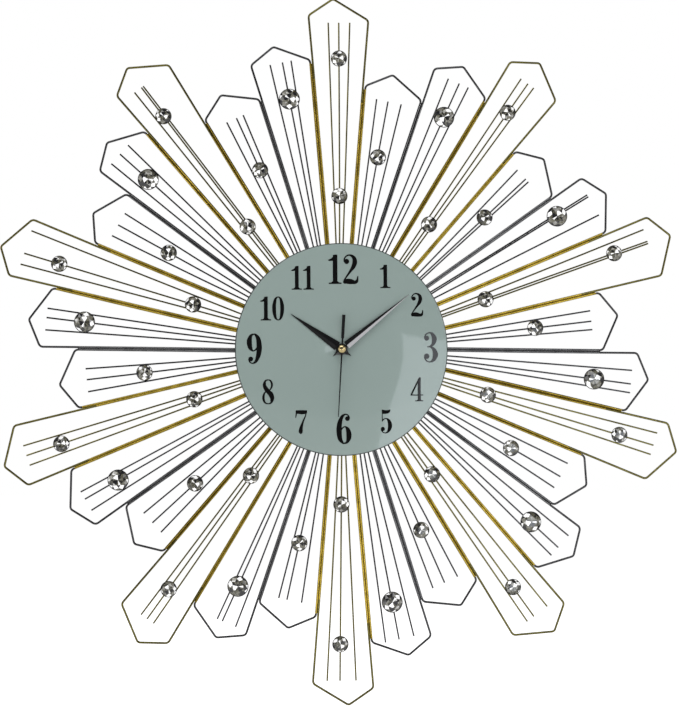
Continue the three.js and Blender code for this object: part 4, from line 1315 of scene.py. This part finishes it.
@dataclass(frozen=True)
class Blade:
    """An hour or minute hand: its node and body, length, half width, layer, bearing and finish."""

    name: str
    body: str
    length: float
    half_width: float
    back: float
    bearing: float
    bore: float
    ridge: float
    finish: Finish
    edge: float = 0.3


BLADES = (
    Blade("hour_hand", "hour_hand", 61, 4.7, 32.0, 305, 2.7, 1.0, Finish.HUB),
    Blade("minute_hand", "minute_hand", 85.5, 4.0, 34.4, 51.3, 1.8, 0.95, Finish.HAND),
)


@dataclass
class Hands:
    """Ridged sword hands, the second hand with its counterweight, and the brass dome."""

    boss: float = 5.6
    second_back: float = 37.0
    second_front: float = 37.5
    second_bearing: float = 183.5
    second_boss: float = 5.0
    dome_back: float = 37.7
    dome_front: float = 40.3
    dome_radius: float = 4.0

    def width_at(self, blade: Blade, y: Array) -> Array:
        """A blade's half width: a tail hollowed at its sides, a round boss, then a straight
        taper from the widest place to the tip."""
        heel = math.sqrt(self.boss**2 - blade.half_width**2) + 2
        taper = np.interp(y, [heel, blade.length], [blade.half_width, 0.18])
        tail = np.interp(y, [-11.4, -7.6, -5.0, -4.0], [0.12, 1.1, 2.7, 3.9])
        boss = np.sqrt(np.maximum(self.boss**2 - y**2, 0))
        return np.where(y >= heel, taper, np.where(y > 0, np.minimum(boss, blade.half_width + 0.9),
                                                   np.maximum(boss * (y > -5.0), tail)))

    def blade(self, blade: Blade) -> None:
        """A blade whose two facets rise to a ridge: at y the section is (-w, edge), (0, ridge),
        (w, edge) over a flat back, with w from width_at."""
        y = np.concatenate([np.linspace(-11.4, 7, 48), np.linspace(8, blade.length, 40)])
        w = self.width_at(blade, y)
        rise = blade.edge + blade.ridge * np.clip(w / blade.half_width, 0.05, 1)
        back, edge, ridge = -blade.back, -(blade.back + blade.edge), -(blade.back + rise)
        section = [(-w, 0 * w + back), (w, 0 * w + back), (w, 0 * w + edge), (0.05 * w, ridge),
                   (-0.05 * w, ridge),
                   (-w, 0 * w + edge)]
        points = np.stack([np.stack([x, depth, y], -1) for x, depth in section], 1).reshape(-1, 3)
        last = 6 * (len(y) - 1)
        ends = [np.arange(6)[None, ::-1], last + np.arange(6)[None, :]]
        skin = Skin(f"ridged_{blade.name}").add((points, [grid_faces(len(y), 6), *ends]))
        collar = np.array([[blade.bore, blade.back + 0.05], [3.4, blade.back + 0.05], [3.4, blade.back + 1.5],
                           [blade.bore, blade.back + 1.5]])
        skin.add(turned(softened(collar, 0.15, 3, closed=True), 48), finish=1)
        skin.points = [turn_by(p, blade.bearing) for p in skin.points]
        place(skin.build([blade.finish.material(), Finish.HUB.material()], 8.0), blade.body, "hand_black",
              (blade.name,))

    def second_hand(self) -> None:
        """The second hand: a stamped needle and bar, and a ring with eased edges round the dome."""
        line = np.array([[0, -33.8, 1.6], [0, -33.3, 1.62], [0, -22, 1.52], [0, -11.2, 1.45], [0, -10.7, 1.3],
                         [0, -10.2, 0.85], [0, -4, 0.8], [0, 4, 0.8], [0, 30, 0.65], [0, 66.4, 0.42],
                         [0, 67, 0.16]])
        skin = Skin("stamped_second_hand").add(ribbon(line, self.second_back, self.second_front))
        b, f = self.second_back - 0.02, self.second_front + 0.14
        ring = np.array([[0.7, b], [self.second_boss, b], [self.second_boss, f], [0.7, f]])
        skin.add(turned(softened(ring, 0.12, 3, closed=True), 64), finish=1)
        skin.points = [turn_by(p, self.second_bearing) for p in skin.points]
        place(skin.build([Finish.HUB.material()] * 2, 30.0), "second_hand", "hand_black",
              ("second_hand",))

    def dome(self) -> None:
        """The brass dome: an ellipse's quarter over a short skirt, turned about the hands."""
        a = np.linspace(0, np.pi / 2, 18)
        skirt = self.dome_back + 0.45
        curve = np.stack([self.dome_radius * np.cos(a), skirt + (self.dome_front - skirt) * np.sin(a)], -1)
        curve[-1, 0] = 0
        profile = np.concatenate([[[0, self.dome_back], [self.dome_radius - 0.2, self.dome_back],
                                   [self.dome_radius, self.dome_back + 0.2]], curve])
        skin = Skin("brass_dome").add(turned(profile, 64))
        place(skin.build([Finish.BRASS.material()], 50.0), "second_hand", "brass", ("second_hand_boss",))

    def build(self) -> None:
        """Makes and places the hands."""
        for blade in BLADES:
            self.blade(blade)
        self.second_hand()
        self.dome()


# ---- Movement ----


@dataclass
class Movement:
    """The movement behind the dial: CAD nodes dressed as they are, and the cell, which the
    frame holds coarsely, made smooth."""

    cell_radius: float = 7.25
    cell_length: float = 50.5
    cell_standoff: float = 8.6
    cell_z: float = -19.1
    dressed: dict[str, Finish] = field(default_factory=lambda: {
        "wall_hanger": Finish.ZINC, "rubber_washer": Finish.RUBBER, "brass_washer": Finish.BRASS,
        "hex_nut": Finish.BRASS, "threaded_bushing": Finish.BRASS, "front_case": Finish.CASE,
        "rear_case": Finish.CASE, "battery_cover": Finish.CASE, "positive_contact": Finish.ZINC,
        "negative_contact": Finish.ZINC, "train_plate": Finish.TRAIN, "circuit_board": Finish.BOARD,
        "coil": Finish.COPPER, "stator": Finish.ZINC, "rotor": Finish.ZINC, "fifth_wheel": Finish.TRAIN,
        "second_wheel": Finish.TRAIN, "third_wheel": Finish.TRAIN, "centre_wheel": Finish.TRAIN,
        "cannon_pinion": Finish.BRASS, "setting_wheel": Finish.TRAIN, "hour_wheel": Finish.TRAIN,
        "setting_knob": Finish.CASE,
    })
    eased: dict[str, float] = field(default_factory=lambda: {
        "front_case": 0.5, "rear_case": 0.35, "battery_cover": 0.2, "wall_hanger": 0.25, "setting_knob": 0.15,
        "hex_nut": 0.25,
    })

    def dress(self) -> None:
        """Gives each CAD node its finish, and eases the sharp edges of those that show."""
        for name, finish in self.dressed.items():
            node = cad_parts[name]
            node.data.materials.clear()
            node.data.materials.append(finish.material())
            if name in self.eased:
                node.modifiers.new("weld", "WELD").merge_threshold = 1e-6
                bevel = node.modifiers.new("ease", "BEVEL")
                bevel.width = self.eased[name] * MM
                bevel.segments = 2
                bevel.limit_method = "ANGLE"
                bevel.angle_limit = math.radians(30)
                bevel.use_clamp_overlap = True
                bevel.harden_normals = False
            LOG.info("%s: dressed in %s", name, finish.value.name)

    def cell(self) -> None:
        """The AA cell: a sleeved can with rolled shoulders, its button and its bare base."""
        r, half = self.cell_radius, self.cell_length / 2
        axis = (self.cell_standoff, self.cell_z)
        sleeve = np.array([[5.6, -half + 0.15], [r, -half + 0.15], [r, half - 1.6], [5.2, half - 1.6]])
        button = np.array([[5.0, half - 1.75], [2.7, half - 1.5], [2.7, half], [0.0, half]])
        base = np.array([[0.0, -half + 0.05], [4.2, -half + 0.05], [4.6, -half + 0.25], [5.7, -half + 0.25]])
        skin = Skin("sleeved_cell")
        skin.add(turned(softened(sleeve, 0.6, 5), 72, axis, Axis.ACROSS))
        crown = np.concatenate([[[0, half - 2.2]], [[5.4, half - 2.2]], softened(button, 0.35, 4)])
        skin.add(turned(crown, 48, axis, Axis.ACROSS), finish=1)
        skin.add(turned(np.concatenate([softened(base, 0.15, 3), [[5.7, -half + 0.9], [0, -half + 0.9]]]), 48,
                        axis, Axis.ACROSS), finish=1)
        place(skin.build([Finish.SLEEVE.material(), Finish.ZINC.material()]), CLOCK, "battery_wrap",
              ("battery",))

    def build(self) -> None:
        """Makes and dresses the movement."""
        self.dress()
        self.cell()


# ---- Studio ----


@dataclass(frozen=True)
class Softbox:
    """A rectangular light: its middle, what it faces, its sides in metres and its brightness."""

    name: str
    middle: tuple[float, float, float]
    faces: tuple[float, float, float]
    sides: tuple[float, float]
    radiance: float
    colour: Colour = (1.0, 1.0, 1.0)

    def build(self) -> None:
        """Makes the light: a power of pi times area times radiance."""
        lamp = bpy.data.lights.new(self.name, "AREA")
        lamp.shape = "RECTANGLE"
        lamp.size, lamp.size_y = self.sides
        lamp.energy = math.pi * self.sides[0] * self.sides[1] * self.radiance
        lamp.color = self.colour
        made = bpy.data.objects.new(self.name, lamp)
        made.location = self.middle
        aim = Vector(self.faces) - Vector(self.middle)
        made.rotation_euler = aim.to_track_quat("-Z", "Y").to_euler()
        made.visible_camera = False
        bpy.context.scene.collection.objects.link(made)


@dataclass
class Studio:
    """A pale floor, soft lights, a white surround and the camera."""

    camera_at: tuple[float, float, float] = (-0.160, -2.4925, -0.1132)
    yaw: float = 3.67
    pitch: float = 2.52
    roll: float = -0.45
    focal: float = 2507.6
    sensor: float = 36.0
    floor_drop: float = 0.02
    floor_side: float = 40.0
    floor_light: float = 0.3
    floor_seen: float = 0.9
    surround: float = 0.12
    boxes: tuple[Softbox, ...] = (
        Softbox("top_box", (-0.5, -1.5, 2.0), (0, 0, 0), (2.4, 1.2), 2.8),
        Softbox("left_box", (-2.2, -1.2, 0.2), (0, 0, 0), (1.0, 1.8), 1.7),
        Softbox("right_box", (2.2, -1.5, 0.4), (0, 0, 0), (1.0, 1.8), 1.7),
        Softbox("low_left_box", (-0.85, -1.4, -0.35), (0, 0, 0), (0.4, 0.4), 5.0),
        Softbox("high_right_box", (0.85, -1.5, 0.35), (0, 0, 0), (0.4, 0.4), 4.0),
        Softbox("facet_box", (0.458, -1.0, -0.303), (0, 0, 0), (0.13, 0.12), 5.0, (0.97, 0.96, 1.0)),
        Softbox("wash_box", (0.58, -1.9, -0.19), (0.58, 0, -0.19), (0.65, 0.62), 2.3, (0.88, 0.93, 1.0)),
        Softbox("back_box_left", (-1.4, 1.8, 1.0), (0, 0, 0), (1.4, 1.4), 2.0),
        Softbox("back_box_right", (1.6, 1.6, 0.2), (0, 0, 0), (1.0, 1.6), 1.6),
    )

    def floor(self) -> None:
        """The floor: a level sheet below the lowest petal, pale and slightly mottled."""
        level = (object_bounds()[0].z - self.floor_drop) / MM
        half = self.floor_side / 2 / MM
        sheet = np.array([[-half, -half, level], [half, -half, level], [half, half, level],
                          [-half, half, level]])
        made = Skin("studio_floor").add((sheet, [np.array([[0, 1, 2, 3]])]))
        material, bench, shader = principled("pale_floor")
        place_of = bench.add("ShaderNodeTexCoord").outputs["Object"]
        cloud = bench.add("ShaderNodeTexNoise", Vector=place_of, Scale=3.0)
        tone = bench.mix(cloud.outputs[0], solid((0.93, 0.93, 0.93)), solid((0.9, 0.9, 0.9)))
        bench.tree.links.new(tone, shader.inputs["Base Color"])
        shader.inputs["Roughness"].default_value = 1.0
        shader.inputs["Specular IOR Level"].default_value = 0.0
        shader.inputs["Emission Color"].default_value = solid((1, 1, 1))
        seen = bench.add("ShaderNodeLightPath").outputs["Is Camera Ray"]
        glow = bench.spread(seen, 0.0, 1.0, self.floor_light, self.floor_seen)
        bench.tree.links.new(glow, shader.inputs["Emission Strength"])
        made.build([material])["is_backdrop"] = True

    def world(self) -> None:
        """The surround: white where the camera looks past the clock, dim where it lights."""
        world = bpy.data.worlds.new("studio")
        world.use_nodes = True
        bench = Bench(world.node_tree)
        seen = bench.add("ShaderNodeLightPath").outputs["Is Camera Ray"]
        dim = world.node_tree.nodes["Background"]
        dim.inputs[0].default_value, dim.inputs[1].default_value = solid((1, 1, 1)), self.surround
        white = bench.add("ShaderNodeBackground", Color=solid((1, 1, 1)), Strength=1.0)
        both = bench.add("ShaderNodeMixShader", i0=seen, i1=dim.outputs[0], i2=white.outputs[0])
        world.node_tree.links.new(both.outputs[0], world.node_tree.nodes["World Output"].inputs[0])
        bpy.context.scene.world = world

    def camera(self) -> None:
        """The camera: forward is yaw and pitch from +Y, and right and up are rolled about it."""
        yaw, pitch, roll = (math.radians(a) for a in (self.yaw, self.pitch, self.roll))
        forward = Vector((math.sin(yaw) * math.cos(pitch), math.cos(yaw) * math.cos(pitch), math.sin(pitch)))
        right = Vector((math.cos(yaw), -math.sin(yaw), 0))
        up = right.cross(forward)
        right, up = (right * math.cos(roll) + up * math.sin(roll),
                     up * math.cos(roll) - right * math.sin(roll))
        lens = bpy.data.cameras.new("camera")
        lens.sensor_width = self.sensor
        lens.lens = self.focal * self.sensor / max(IMAGE_SIDES)
        lens.clip_start, lens.clip_end = 0.05, 100
        made = bpy.data.objects.new("camera", lens)
        turn = Matrix((right, up, -forward)).transposed().to_4x4()
        made.matrix_world = Matrix.Translation(self.camera_at) @ turn
        bpy.context.scene.collection.objects.link(made)
        bpy.context.scene.camera = made

    def build(self) -> None:
        """Makes the studio."""
        self.floor()
        self.world()
        self.camera()
        for box in self.boxes:
            box.build()
        bpy.context.scene.view_settings.view_transform = "Standard"


def clear_start_up() -> None:
    """Takes away what a new Blender file holds."""
    for name in ("Cube", "Light", "Camera"):
        found = bpy.data.objects.get(name)
        if found:
            bpy.data.objects.remove(found)


def main() -> None:
    """Builds the clock, piece by piece, then the studio."""
    logging.basicConfig(level=logging.INFO, format="%(name)s %(message)s")
    clear_start_up()
    grain_group()
    edge_group()
    for part in (Petals(), Dial(), Hands(), Movement(), Studio()):
        part.build()


if __name__ == "__main__":
    main()
